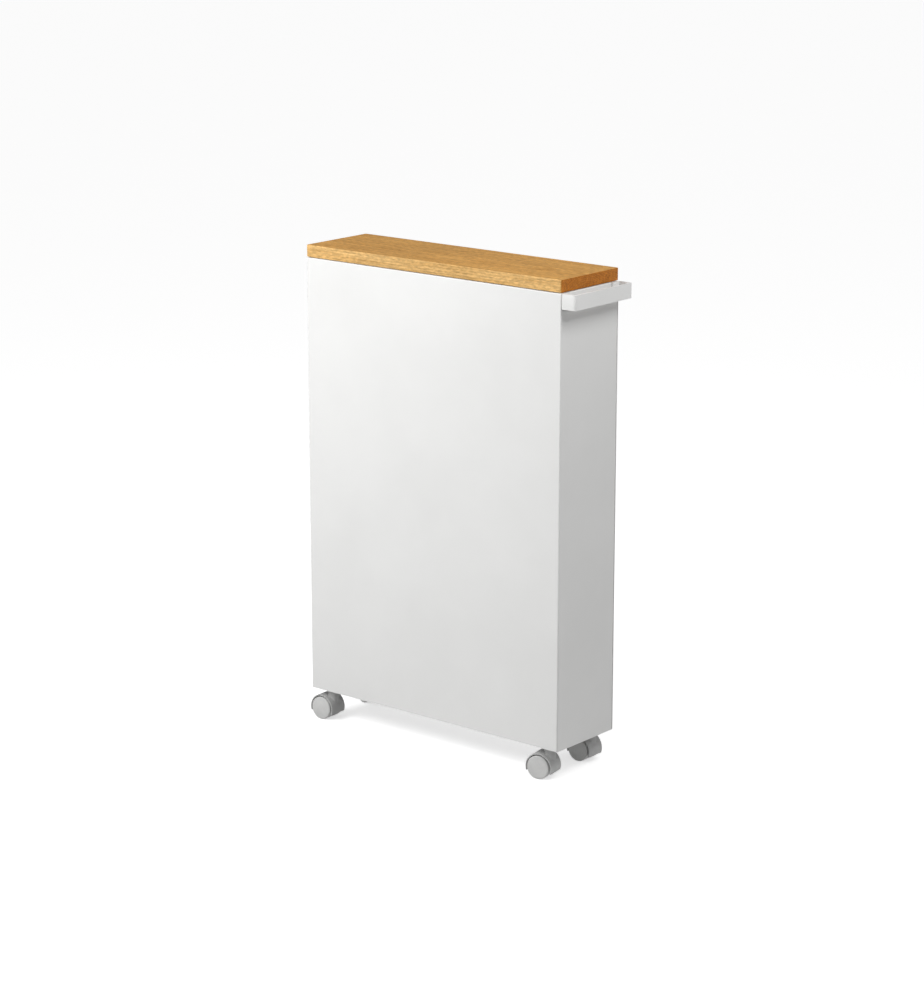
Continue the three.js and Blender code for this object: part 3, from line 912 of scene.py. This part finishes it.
def makeLidBoard(choices):
    edge, corner = choices["edge"], choices["cornerRadius"]
    profile = []
    for step in range(5):
        turn = math.radians(90 * step / 4)
        profile.append((edge * (1 - math.sin(turn)), lidLow[2] + edge * (1 - math.cos(turn))))
    for step in range(5):
        turn = math.radians(90 * step / 4)
        profile.append((edge * (1 - math.cos(turn)), lidHigh[2] - edge * (1 - math.sin(turn))))
    rows = [planLoop(lidLow, lidHigh, corner, inset, height, 8) for inset, height in profile]
    made = loft("lid_board_oak", rows, oiledOak, caps=True)
    for node in bumperNodes:
        low, high = boxOf(node)
        centre = (low + high) / 2
        seat = drum(choices["seatRadius"], -1 * mm, choices["seatDepth"])
        tool = turned("seat", seat, oiledOak, 24)
        boolean(made, moved(tool, Matrix.Translation((centre[0], centre[1], lidLow[2]))), "DIFFERENCE")
    return onBody(made, "lid", "oak_board", "lid_board")


corners = ("front_left", "front_right", "back_left", "back_right")
bumperNodes = [f"lid_bumper_{corner}" for corner in corners]
bumper = {"radius": 3.2 * mm, "height": 3.0 * mm}


def makeBumpers(choices):
    r, h = choices["radius"], choices["height"]
    profile = [(0, 0), (r * 0.5, 0.05 * mm), (r * 0.8, 0.3 * mm), (r * 0.93, 0.75 * mm)]
    profile += [(r, 1.2 * mm), (r, h), (0, h)]
    shape = turned("bumper", profile, paleRubber, 28)
    points = []
    for node in bumperNodes:
        low, high = boxOf(node)
        points.append(((low[0] + high[0]) / 2, (low[1] + high[1]) / 2, low[2]))
    source = pointMesh("bumper places", points, directions=[(0, 0, 1)] * 4)
    made = grown("lid_bumpers", source, fastenerTree(shape, paleRubber), {"Size": 1.0, "Seed": 1})
    bpy.data.objects.remove(shape)
    return onBody(made, "lid", "clear_rubber", *bumperNodes)


makeLidBoard(lid)
makeBumpers(bumper)
print("lid made")


hinge = {
    "leaf": 1.5 * mm,
    "barrel": 3.0 * mm,
    "bore": 1.6 * mm,
    "pin": 1.3 * mm,
    "gap": 0.3 * mm,
    "leafCorner": 2.5 * mm,
    "wrapDegrees": 318,
}


# Flat leaf whose edge is rolled round the pin, in y and z about the hinge's axis.
def leafOutline(axisY, axisZ, side, end, choices):
    mid = (choices["barrel"] + choices["bore"]) / 2
    t = choices["barrel"] - choices["bore"]
    flatY = rearHigh[1] + choices["gap"] + choices["leaf"] / 2 - axisY
    start = math.asin(max(-1, min(1, flatY / mid)))
    line = [(flatY, end - axisZ), (flatY, side * (mid * math.cos(start) + 0.2 * mm))]
    sweep = math.radians(choices["wrapDegrees"])
    for step in range(25):
        turn = start + sweep * step / 24
        line.append((mid * math.sin(turn), side * mid * math.cos(turn)))
    outline = sheetOutline(line, t)
    return outline + (axisY, axisZ)


def makeHinge(place, choices):
    low, high = boxOf(f"hinge_pin_{place}")
    x0, x1 = low[0], high[0]
    axisY, axisZ = (low[1] + high[1]) / 2, (low[2] + high[2]) / 2
    third, gap = (x1 - x0) / 3, choices["gap"] / 2
    bodyLow, _ = boxOf(f"hinge_body_leaf_{place}")
    _, lidTop = boxOf(f"hinge_lid_leaf_{place}")
    clear = choices["barrel"] + 0.6 * mm
    y0, y1 = rearHigh[1] + choices["gap"], rearHigh[1] + choices["gap"] + choices["leaf"]

    def leaf(name, side, end, spans):
        root, corner = axisZ + side * clear, choices["leafCorner"]
        plate = filleted([(x0, end), (x1, end), (x1, root), (x0, root)], [corner, corner, 0, 0], 6)
        made = prism(name, plate, "y", y0, y1, zinc)
        near = axisZ + side * (clear + 0.4 * mm)
        for a, b in spans:
            knuckle = prism("knuckle", leafOutline(axisY, axisZ, side, near, choices), "x", a, b, zinc)
            boolean(made, knuckle, "UNION")
        return softened(made, 0.2 * mm, 2, 50)

    outer = [(x0, x0 + third - gap), (x1 - third + gap, x1)]
    inner = [(x0 + third + gap, x1 - third - gap)]
    fixed = leaf(f"hinge_leaf_body_{place}", -1, bodyLow[2], outer)
    onBody(fixed, "cabinet", "zinc_steel", f"hinge_body_leaf_{place}")
    moving = leaf(f"hinge_leaf_lid_{place}", 1, lidTop[2], inner)
    onBody(moving, "lid", "zinc_steel", f"hinge_lid_leaf_{place}")
    r = choices["pin"]
    half = (x1 - x0) / 2
    profile = [(0, -half), (r * 0.8, -half), (r, -half + 0.3 * mm)]
    profile += [(r, half - 0.3 * mm), (r * 0.8, half), (0, half)]
    pin = turned(f"hinge_pin_{place}_steel", profile, zinc, 24)
    moved(pin, Matrix.Translation(((x0 + x1) / 2, axisY, axisZ)) @ Matrix.Rotation(math.pi / 2, 4, "Y"))
    onBody(pin, "cabinet", "zinc_steel", f"hinge_pin_{place}")


makeHinge("left", hinge)
makeHinge("right", hinge)
print("hinges made")


caster = {
    "wheelRadius": 18 * mm,
    "trail": 12.5 * mm,
    "hoodShift": 1.3 * mm,
    "hoodInner": 20 * mm,
    "hoodOuter": 21.8 * mm,
    "hoodHalf": 15.5 * mm,
    "webHalf": 3.5 * mm,
    "coverFrom": -20,
    "coverTo": 198,
    "bossRadius": 8.5 * mm,
    "bossTop": 48 * mm,
    "hubRadius": 6 * mm,
    "socketRadius": 4.3 * mm,
}


# Piece swept round the axle's line from angle a to angle b; the profile is (radius, y) pairs.
def sweptArch(name, profile, centre, a, b, steps, material):
    rows = []
    for step in range(steps + 1):
        turn = math.radians(a + (b - a) * step / steps)
        ahead, up = math.cos(turn), math.sin(turn)
        rows.append([(centre[0] + r * ahead, y, centre[1] + r * up) for r, y in profile])
    return loft(name, rows, material, caps=True)


def makeHoodShape(choices):
    centre = (choices["hoodShift"] - choices["trail"], choices["wheelRadius"])
    half, web = choices["hoodHalf"], choices["webHalf"]
    outer, inner = choices["hoodOuter"], choices["hoodInner"]
    start, end = choices["coverFrom"], choices["coverTo"]
    cover = [(outer, -half), (outer, half), (inner, half), (inner, -half)]
    cover = filleted(cover, [1.0 * mm, 1.0 * mm, 0.4 * mm, 0.4 * mm], 4)
    hood = sweptArch("hood", cover, centre, start, end, 56, shadedHoodNylon)
    edge = 0.5 * mm
    wide = inner + 0.6 * mm
    plate = [(wide, -web), (wide, web), (edge, web), (edge, -web)]
    plate = sweptArch("web", plate, centre, start + 2, end - 2, 56, shadedHoodNylon)
    boolean(hood, plate, "UNION")
    hubHalf = web + 0.25 * mm
    hub = turned("hub", drum(choices["hubRadius"], -hubHalf, hubHalf), shadedHoodNylon, 40)
    moved(hub, Matrix.Translation((-choices["trail"], 0, choices["wheelRadius"])) @ ontoY)
    boolean(hood, hub, "UNION")
    low, top = choices["wheelRadius"] + 4 * mm, choices["bossTop"]
    r = choices["bossRadius"]
    profile = [(0, low), (r, low), (r, top - 0.8 * mm), (r - 0.8 * mm, top), (0, top)]
    boss = turned("boss", profile, shadedHoodNylon, 48)
    room = drum(wide, web - 0.4 * mm, half + 2 * mm)
    for side in (1, -1):
        pocket = turned("pocket", [(pr, side * py) for pr, py in room], shadedHoodNylon, 96)
        moved(pocket, Matrix.Translation((centre[0], 0, centre[1])) @ ontoY)
        boolean(boss, pocket, "DIFFERENCE")
    boolean(hood, boss, "UNION")
    socket = turned("socket", drum(choices["socketRadius"], 37 * mm, 60 * mm), shadedHoodNylon, 32)
    boolean(hood, socket, "DIFFERENCE")
    return hood


def makeWheelShape(choices):
    r = choices["wheelRadius"]
    inner, rim = choices["webHalf"] + 0.6 * mm, choices["hoodHalf"] + 0.2 * mm
    profile = [(0, inner + 0.2 * mm), (r - 6 * mm, inner + 0.2 * mm)]
    profile += [(r - 5.5 * mm, inner), (r - 1.2 * mm, inner)]
    profile += [(r - 0.4 * mm, inner + 0.3 * mm), (r, inner + 1.2 * mm), (r, rim - 1.6 * mm)]
    profile += [(r - 0.25 * mm, rim - 0.8 * mm), (r - 0.8 * mm, rim - 0.25 * mm), (r - 1.5 * mm, rim)]
    profile += [(r - 1.7 * mm, rim - 0.25 * mm), (r - 2.1 * mm, rim - 0.25 * mm), (r - 2.3 * mm, rim)]
    for step in range(1, 9):
        share = step / 8
        profile.append(((r - 2.3 * mm) * (1 - share), rim + 0.9 * mm * (1 - (1 - share) ** 2)))
    wheel = turned("wheel", profile, wheelNylon, 72)
    return moved(wheel, ontoY)


def makeCasters(choices):
    hoodShape, wheelShape = makeHoodShape(choices), makeWheelShape(choices)
    for place in places:
        stemX, stemY, _ = jointNamed(f"caster_swivel_{place}")["pos_m"]
        spin = jointNamed(f"wheel_spin_front_{place}")
        across = spin["axis"]
        yaw = math.atan2(-across[0], across[1])
        stand = Matrix.Translation((stemX, stemY, 0)) @ Matrix.Rotation(yaw, 4, "Z")
        axle = Matrix.Translation(spin["pos_m"]) @ Matrix.Rotation(yaw, 4, "Z")

        hood = bpy.data.objects.new(f"caster_hood_{place}_nylon", hoodShape.data.copy())
        scene.collection.objects.link(hood)
        onBody(moved(hood, stand), f"caster_{place}", "caster_plastic", f"caster_hood_{place}")

        rod = [(0, -13.6 * mm), (1.7 * mm, -13.6 * mm), (2 * mm, -13.2 * mm)]
        rod += [(2 * mm, 13.2 * mm), (1.7 * mm, 13.6 * mm), (0, 13.6 * mm)]
        rod = moved(turned(f"caster_axle_{place}_steel", rod, zinc, 24), axle @ ontoY)
        onBody(rod, f"caster_{place}", "zinc_steel", f"caster_axle_{place}")

        for side, turn in (("back", 0), ("front", math.pi)):
            name = f"caster_wheel_{side}_{place}"
            wheel = bpy.data.objects.new(name + "_nylon", wheelShape.data.copy())
            scene.collection.objects.link(wheel)
            moved(wheel, axle @ Matrix.Rotation(turn, 4, "Z"))
            onBody(wheel, f"wheel_{side}_{place}", "caster_plastic", name)

        low, high = boxOf(f"caster_stem_{place}")
        foot, tip, pan = low[2], high[2], boxOf("base_pan")[0][2] - 0.3 * mm
        stem = [(0, foot), (3.6 * mm, foot), (4 * mm, foot + 0.4 * mm), (4 * mm, 48.4 * mm)]
        stem += [(7.6 * mm, 48.4 * mm), (8 * mm, 48.7 * mm)]
        stem += [(8 * mm, pan - 0.3 * mm), (7.7 * mm, pan), (4 * mm, pan)]
        z = pan + 0.4 * mm
        while z < tip - 1.6 * mm:
            stem += [(3.55 * mm, z), (4 * mm, z + 0.6 * mm)]
            z += 1.2 * mm
        stem += [(3.4 * mm, tip - 0.4 * mm), (3 * mm, tip), (0, tip)]
        made = turned(f"caster_stem_{place}_steel", stem, zinc, 32)
        moved(made, Matrix.Translation((stemX, stemY, 0)))
        onBody(made, "cabinet", "zinc_steel", f"caster_stem_{place}")
    bpy.data.objects.remove(hoodShape)
    bpy.data.objects.remove(wheelShape)


makeCasters(caster)
print("casters made")


bag = {
    "wire": 2 * mm,
    "cornerRadius": 16 * mm,
    "cloth": 0.9 * mm,
    "foldDepth": 7 * mm,
    "hollow": 4 * mm,
    "seamRidge": 1.5 * mm,
    "hemWidth": 5.2 * mm,
    "bottomRadius": 22 * mm,
    "sag": 5 * mm,
    "roundSteps": 44,
}


def roundedLoop(halfX, halfY, radius, steps):
    farX, farY = halfX - radius, halfY - radius
    corners = [(farX, farY, 0), (-farX, farY, 90), (-farX, -farY, 180), (farX, -farY, 270)]
    points, normals = [], []
    for i, (x, y, start) in enumerate(corners):
        for step in range(9):
            turn = math.radians(start + 90 * step / 8)
            normals.append((math.cos(turn), math.sin(turn)))
            points.append((x + radius * normals[-1][0], y + radius * normals[-1][1]))
        nextX, nextY, _ = corners[(i + 1) % 4]
        turn = math.radians(start + 90)
        a = np.array(points[-1])
        b = np.array((nextX + radius * math.cos(turn), nextY + radius * math.sin(turn)))
        for step in range(1, steps):
            points.append(tuple(a + (b - a) * step / steps))
            normals.append((math.cos(turn), math.sin(turn)))
    return np.array(points), np.array(normals)


def makeBagFrame(place, choices):
    low, high = boxOf(f"bag_frame_{place}")
    centre = (low + high) / 2
    wire = choices["wire"]
    halfX, halfY = (high[0] - low[0]) / 2 - wire, (high[1] - low[1]) / 2 - wire
    points, normals = roundedLoop(halfX, halfY, choices["cornerRadius"] - wire, 3)
    rows = []
    for (x, y), (nx, ny) in zip(points, normals):
        row = []
        for step in range(16):
            turn = 2 * math.pi * step / 16
            out, up = wire * math.cos(turn), wire * math.sin(turn)
            row.append((centre[0] + x + nx * out, centre[1] + y + ny * out, centre[2] + up))
        rows.append(row)
    made = loft(f"bag_frame_{place}_wire", rows, wireCoat, closeRows=True)
    return onBody(made, "cabinet", "white_wire", f"bag_frame_{place}")


# Section of the cloth from the middle of the bottom up the wall and round the wire:
# pairs of how far it is from the wire's line (inwards is negative) and height.
def clothLine(wireZ, floorZ, halfY, choices):
    ring = choices["wire"] + choices["cloth"] / 2 + 0.05 * mm
    wall = -4.9 * mm
    r = choices["bottomRadius"]
    line = []
    for share in np.linspace(0, 1, 7)[:-1]:
        line.append((-halfY + (halfY + wall - r) * share, floorZ))
    for step in range(9):
        turn = math.radians(-90 + 90 * step / 8)
        line.append((wall - r + r * math.cos(turn), floorZ + r + r * math.sin(turn)))
    for z in np.linspace(floorZ + r, wireZ - 6 * mm, 42)[1:]:
        line.append((wall, z))
    line.append((-3.9 * mm, wireZ - 3.1 * mm))
    for step in range(15):
        turn = math.radians(205 - 290 * step / 14)
        line.append((ring * math.cos(turn), wireZ + ring * math.sin(turn)))
    return line


# Sewn shell from the middle of the bottom up to the sleeve round the wire. The wall sags in soft
# folds and a little hollow between the corners, where the seams stand up inside.
def makeBag(place, choices, seed):
    low, high = boxOf(f"bag_frame_{place}")
    bagLow, _ = boxOf(f"laundry_bag_{place}")
    centre = (low + high) / 2
    wire = choices["wire"]
    halfX, halfY = (high[0] - low[0]) / 2 - wire, (high[1] - low[1]) / 2 - wire
    random = np.random.default_rng(seed)
    waves = []
    for _ in range(10):
        count, start = random.integers(3, 16), random.uniform(0, 6.28)
        waves.append((count, start, random.uniform(0.4, 1.0), random.uniform(0.6, 3.0)))
    line = clothLine(centre[2], bagLow[2] + choices["sag"] + choices["cloth"], halfY, choices)
    steps = choices["roundSteps"] // 4
    points, normals = roundedLoop(halfX, halfY, choices["cornerRadius"] - wire, steps)
    x, y = points.T
    nx, ny = normals.T
    around = np.concatenate([[0], np.cumsum(np.linalg.norm(np.diff(points, axis=0), axis=1))])
    phase = 2 * math.pi * around / (around[-1] + np.linalg.norm(points[0] - points[-1]))
    height = centre[2] - bagLow[2]
    hollowShare = np.abs(nx) * (1 - (y / halfY) ** 2) + np.abs(ny) * (1 - (x / halfX) ** 2)
    corners = np.isclose(np.abs(nx), np.abs(ny))
    rows = []
    for offset, z in line:
        drop = max(0.0, centre[2] - 12 * mm - z) / height
        fold = sum(a * np.sin(n * phase + p + lean * 2 * drop) for n, p, a, lean in waves) / 4
        depth = choices["foldDepth"] * min(1, drop * 4) * fold
        if -offset > 30 * mm:
            share = (-offset - 4.9 * mm) / (halfY - 4.9 * mm)
            bow = choices["sag"] * (1 - share * share)
            rise = z - choices["sag"] + bow + 0 * x
            row = [centre[0] + x * (1 - share), centre[1] + y * (1 - share), rise]
        else:
            inward = -offset + choices["hollow"] * math.sin(math.pi * min(1, drop)) * hollowShare - depth
            if z < centre[2] - choices["hemWidth"]:
                inward = inward + choices["seamRidge"] * corners
            row = [centre[0] + x - nx * inward, centre[1] + y - ny * inward, z + 0 * x]
        rows.append(np.array(row).T)
    made = loft(f"laundry_bag_{place}_canvas", rows, cottonCanvas, angle=60)
    work = bmesh.new()
    work.from_mesh(made.data)
    bmesh.ops.remove_doubles(work, verts=work.verts, dist=0.05 * mm)
    work.to_mesh(made.data)
    work.free()
    addClothMap(made)
    wall = made.modifiers.new("cloth", "SOLIDIFY")
    wall.thickness = choices["cloth"]
    wall.offset = 0
    applied(made, 60)
    onBody(made, "cabinet", "cotton_canvas", f"laundry_bag_{place}")
    return np.array(rows), -np.stack([nx, ny, 0 * nx], axis=1), np.flatnonzero(corners), centre


# Map in metres: round the bag and down its wall.
def addClothMap(made):
    layer = made.data.uv_layers.new(name="cloth")
    for face in made.data.polygons:
        normal = face.normal
        for loop in face.loop_indices:
            x, y, z = made.data.vertices[made.data.loops[loop].vertex_index].co
            if abs(normal.z) > 0.7:
                layer.data[loop].uv = (x, y)
            elif abs(normal.x) > abs(normal.y):
                layer.data[loop].uv = (y, z)
            else:
                layer.data[loop].uv = (x, z)


stitches = {"pitch": 4.6 * mm, "length": 3.2 * mm, "thread": 0.75 * mm}


def stitchTree(material):
    tree = NodeTree("stitches along a seam", {
        "Pitch": ("NodeSocketFloat", 0.0034),
        "Length": ("NodeSocketFloat", 0.0023),
        "Thread": ("NodeSocketFloat", 0.00035),
        "Wobble": ("NodeSocketFloat", 0.12),
        "Seed": ("NodeSocketInt", 5),
    })
    curve = tree.node("GeometryNodeMeshToCurve", sockets={0: tree.input("Geometry")})
    spaced = {"Curve": curve, "Length": tree.input("Pitch")}
    even = tree.node("GeometryNodeResampleCurve", {"mode": "LENGTH"}, spaced)
    grain = tree.node("GeometryNodeMeshUVSphere", sockets={"Segments": 8, "Rings": 6, "Radius": 0.5})
    thread, length = tree.input("Thread"), tree.input("Length")
    size = tree.node("ShaderNodeCombineXYZ", sockets={0: thread, 1: thread, 2: length})
    grain = tree.node("GeometryNodeTransform", sockets={"Geometry": grain, "Scale": size})
    along = tree.node("GeometryNodeInputTangent")
    aim = tree.node("FunctionNodeAlignRotationToVector", {"axis": "Z"}, {"Vector": along})
    span = {2: -1.0, 3: 1.0, "Seed": tree.input("Seed")}
    turn = tree.node("FunctionNodeRandomValue", {"data_type": "FLOAT"}, span, output=1)
    lean = tree.node("ShaderNodeMath", {"operation": "MULTIPLY"}, {0: turn, 1: tree.input("Wobble")})
    spin = tree.node("FunctionNodeAxisAngleToRotation", sockets={"Axis": (1, 0, 0), "Angle": lean})
    aim = tree.node("FunctionNodeRotateRotation", {"rotation_space": "LOCAL"}, {0: aim, 1: spin})
    sockets = {"Points": even, "Instance": grain, "Rotation": aim}
    placed = tree.node("GeometryNodeInstanceOnPoints", sockets=sockets)
    return tree.finish(placed, material)


# Rows of stitches under the hem, and beside each corner seam down to the bottom.
def makeStitches(place, sewn, choices):
    rows, inwards, corners, centre = sewn
    lift = bag["cloth"] / 2 + 0.1 * mm
    wall = [row for row in range(len(rows)) if bag["bottomRadius"] < rows[row][0][2] - rows[0][0][2]]
    wall = [row for row in wall if rows[row][0][2] < centre[2] - bag["hemWidth"]]
    points, edges = [], []

    def line(places, closed=False):
        start = len(points)
        points.extend(places)
        count = len(places)
        edges.extend((start + i, start + (i + 1) % count) for i in range(count if closed else count - 1))

    hemRow = max(wall)
    hem = [p + inward * lift for p, inward in zip(rows[hemRow], inwards)]
    line(hem, closed=True)
    line([p - (0, 0, 3 * mm) for p in hem], closed=True)
    for corner in corners:
        for side in (-1, 1):
            beside = corner + side
            line([rows[row][beside] + inwards[beside] * lift for row in wall[::2]])
    source = pointMesh("seams", points, edges)
    values = {
        "Pitch": choices["pitch"],
        "Length": choices["length"],
        "Thread": choices["thread"],
        "Wobble": 0.12,
        "Seed": 7,
    }
    made = grown(f"seam_stitches_{place}", source, stitchTree(cottonThread), values, 60)
    return onBody(made, "cabinet", "cotton_canvas")


# Webbing loop sewn to the inside of each short end, to lift the bag out by: places along it are
# pairs of how far it stands off the wall and its height from the wire.
pullLoop = {
    "width": 25 * mm,
    "webbing": 1.5 * mm,
    "path": [
        (1.5, -15), (1.5, -30), (3.5, -40), (9, -50), (14, -62), (15.5, -76),
        (12, -88), (6.5, -92), (3.4, -84), (2.9, -70), (2.9, -54),
    ],
}


def makePullLoops(place, sewn, choices):
    rows, _, _, centre = sewn
    t, half = choices["webbing"], choices["width"] / 2
    smooth = filleted(np.array(choices["path"]) * mm, 4 * mm, 5, closed=False)
    section = sheetOutline(smooth, t)
    loops = []
    for side in (-1, 1):
        near = [row for row in rows if abs(row[0][2] - centre[2] + 40 * mm) < 9 * mm]
        inner = [row[np.argmax(row[:, 0] * side)][0] * side for row in near]
        wallX = side * (min(inner) - bag["cloth"] / 2)
        outline = [(wallX - side * off, centre[2] + z) for off, z in section]
        loop = prism("loop", outline, "y", centre[1] - half, centre[1] + half, webbing)
        loops.append(softened(loop, 0.35 * mm, 2, 50))
    made = joined(f"pull_loops_{place}", loops)
    smoothed(made.data, 50)
    onBody(made, "cabinet", "cotton_canvas")


for place, seed in (("left", 11), ("right", 23)):
    makeBagFrame(place, bag)
    sewn = makeBag(place, bag, seed)
    makeStitches(place, sewn, stitches)
    makePullLoops(place, sewn, pullLoop)
print("bags made")


studio = {
    "floor": (0.93, 0.93, 0.93),
    "floorReturn": (0.30, 0.30, 0.30),
    "floorGlow": 0.55,
    "yaw": 39.44,
    "pitch": 14.45,
    "lens": 103.1,
    "camera": (2.624, -3.1946, 1.442),
    "skyHorizon": 0.7,
    "skyFocus": 4,
    "skyBase": 0.27,
    "skyFront": 0.32,
    "skyUp": 0.01,
    "skyRight": 0.48,
    "keyPower": 18.4,
    "endPower": 5.5,
}


def makePlane(name, height, material):
    side = 80
    corners = [(x, y, height) for x, y in ((-side, -side), (side, -side), (side, side), (-side, side))]
    made = meshObject(name, corners, [(0, 1, 2, 3)], material)
    return made


# The seen floor glows a little, so that it stays pale in the cabinet's shade, and lights nothing.
# A duller one just below it, not seen, returns the light that a real floor would.
def makeFloor(choices):
    for name, height, glow in (("floor", 0, choices["floorGlow"]), ("floor_return", -0.2 * mm, 0)):
        material, graph = newMaterial("pale " + name)
        paint = choices["floor"] if glow else choices["floorReturn"]
        cloud = graph.noise(graph.place(), 3, 2)
        graph.finish(Base_Color=graph.mix(cloud, paint, tuple(0.99 * c for c in paint)), Roughness=0.9)
        graph.finish(Emission_Color=(1, 1, 1), Emission_Strength=glow)
        plane = makePlane(name, height, material)
        plane.visible_camera = glow > 0
        plane.visible_diffuse = glow == 0
        plane.visible_shadow = False


def makeLight(name, place, target, size, power):
    data = bpy.data.lights.new(name, "AREA")
    data.shape = "RECTANGLE"
    data.size, data.size_y = size
    data.energy = power
    lamp = bpy.data.objects.new(name, data)
    lamp.location = place
    lamp.rotation_euler = (Vector(target) - Vector(place)).to_track_quat("-Z", "Y").to_euler()
    scene.collection.objects.link(lamp)


def makeCamera(choices):
    data = bpy.data.cameras.new("camera")
    data.lens = choices["lens"]
    data.sensor_width = 36
    camera = bpy.data.objects.new("camera", data)
    yaw, pitch = math.radians(choices["yaw"]), math.radians(choices["pitch"])
    level = math.cos(pitch)
    ahead = Vector((-math.sin(yaw) * level, math.cos(yaw) * level, -math.sin(pitch)))
    camera.location = choices["camera"]
    camera.rotation_euler = ahead.to_track_quat("-Z", "Y").to_euler()
    data.clip_end = 200
    scene.collection.objects.link(camera)
    scene.camera = camera


# Soft surroundings with two broad bright sides, and plain white behind everything.
def makeSky(choices):
    world = bpy.data.worlds.new("studio")
    sky = Graph(world)
    x, y, z = sky.axes("Generated")

    def side(azimuth, rise):
        turn, lift = math.radians(azimuth), math.radians(rise)
        across, ahead = math.sin(turn) * math.cos(lift), math.cos(turn) * math.cos(lift)
        toward = x * across - y * ahead + z * math.sin(lift)
        return (toward * 0.5 + 0.5).maths("POWER", choices["skyFocus"])

    glow = side(-30, 10) * choices["skyFront"] + side(120, 15) * choices["skyRight"]
    glow = glow + choices["skyBase"]
    glow = (glow + choices["skyUp"] * (0.5 + z * 0.5)) * sky.remap(z, 0, 0.5, choices["skyHorizon"], 1)
    seen = sky.node("ShaderNodeLightPath")
    backdrop = sky.tree.nodes["Background"]
    sky.feed(backdrop.inputs["Color"], (1, 1, 1))
    sky.feed(backdrop.inputs["Strength"], glow * (1 - seen) + seen)
    scene.world = world


makeCamera(studio)
makeSky(studio)
makeFloor(studio)
makeLight("key", (-0.5, -1.25, 1.25), (0, 0, 0.5), (1.0, 0.7), studio["keyPower"])
makeLight("end", (0.95, -0.12, 1.45), (0.2, -0.12, 0.5), (0.36, 0.5), studio["endPower"])
scene.view_settings.view_transform = "Standard"
print("studio made")
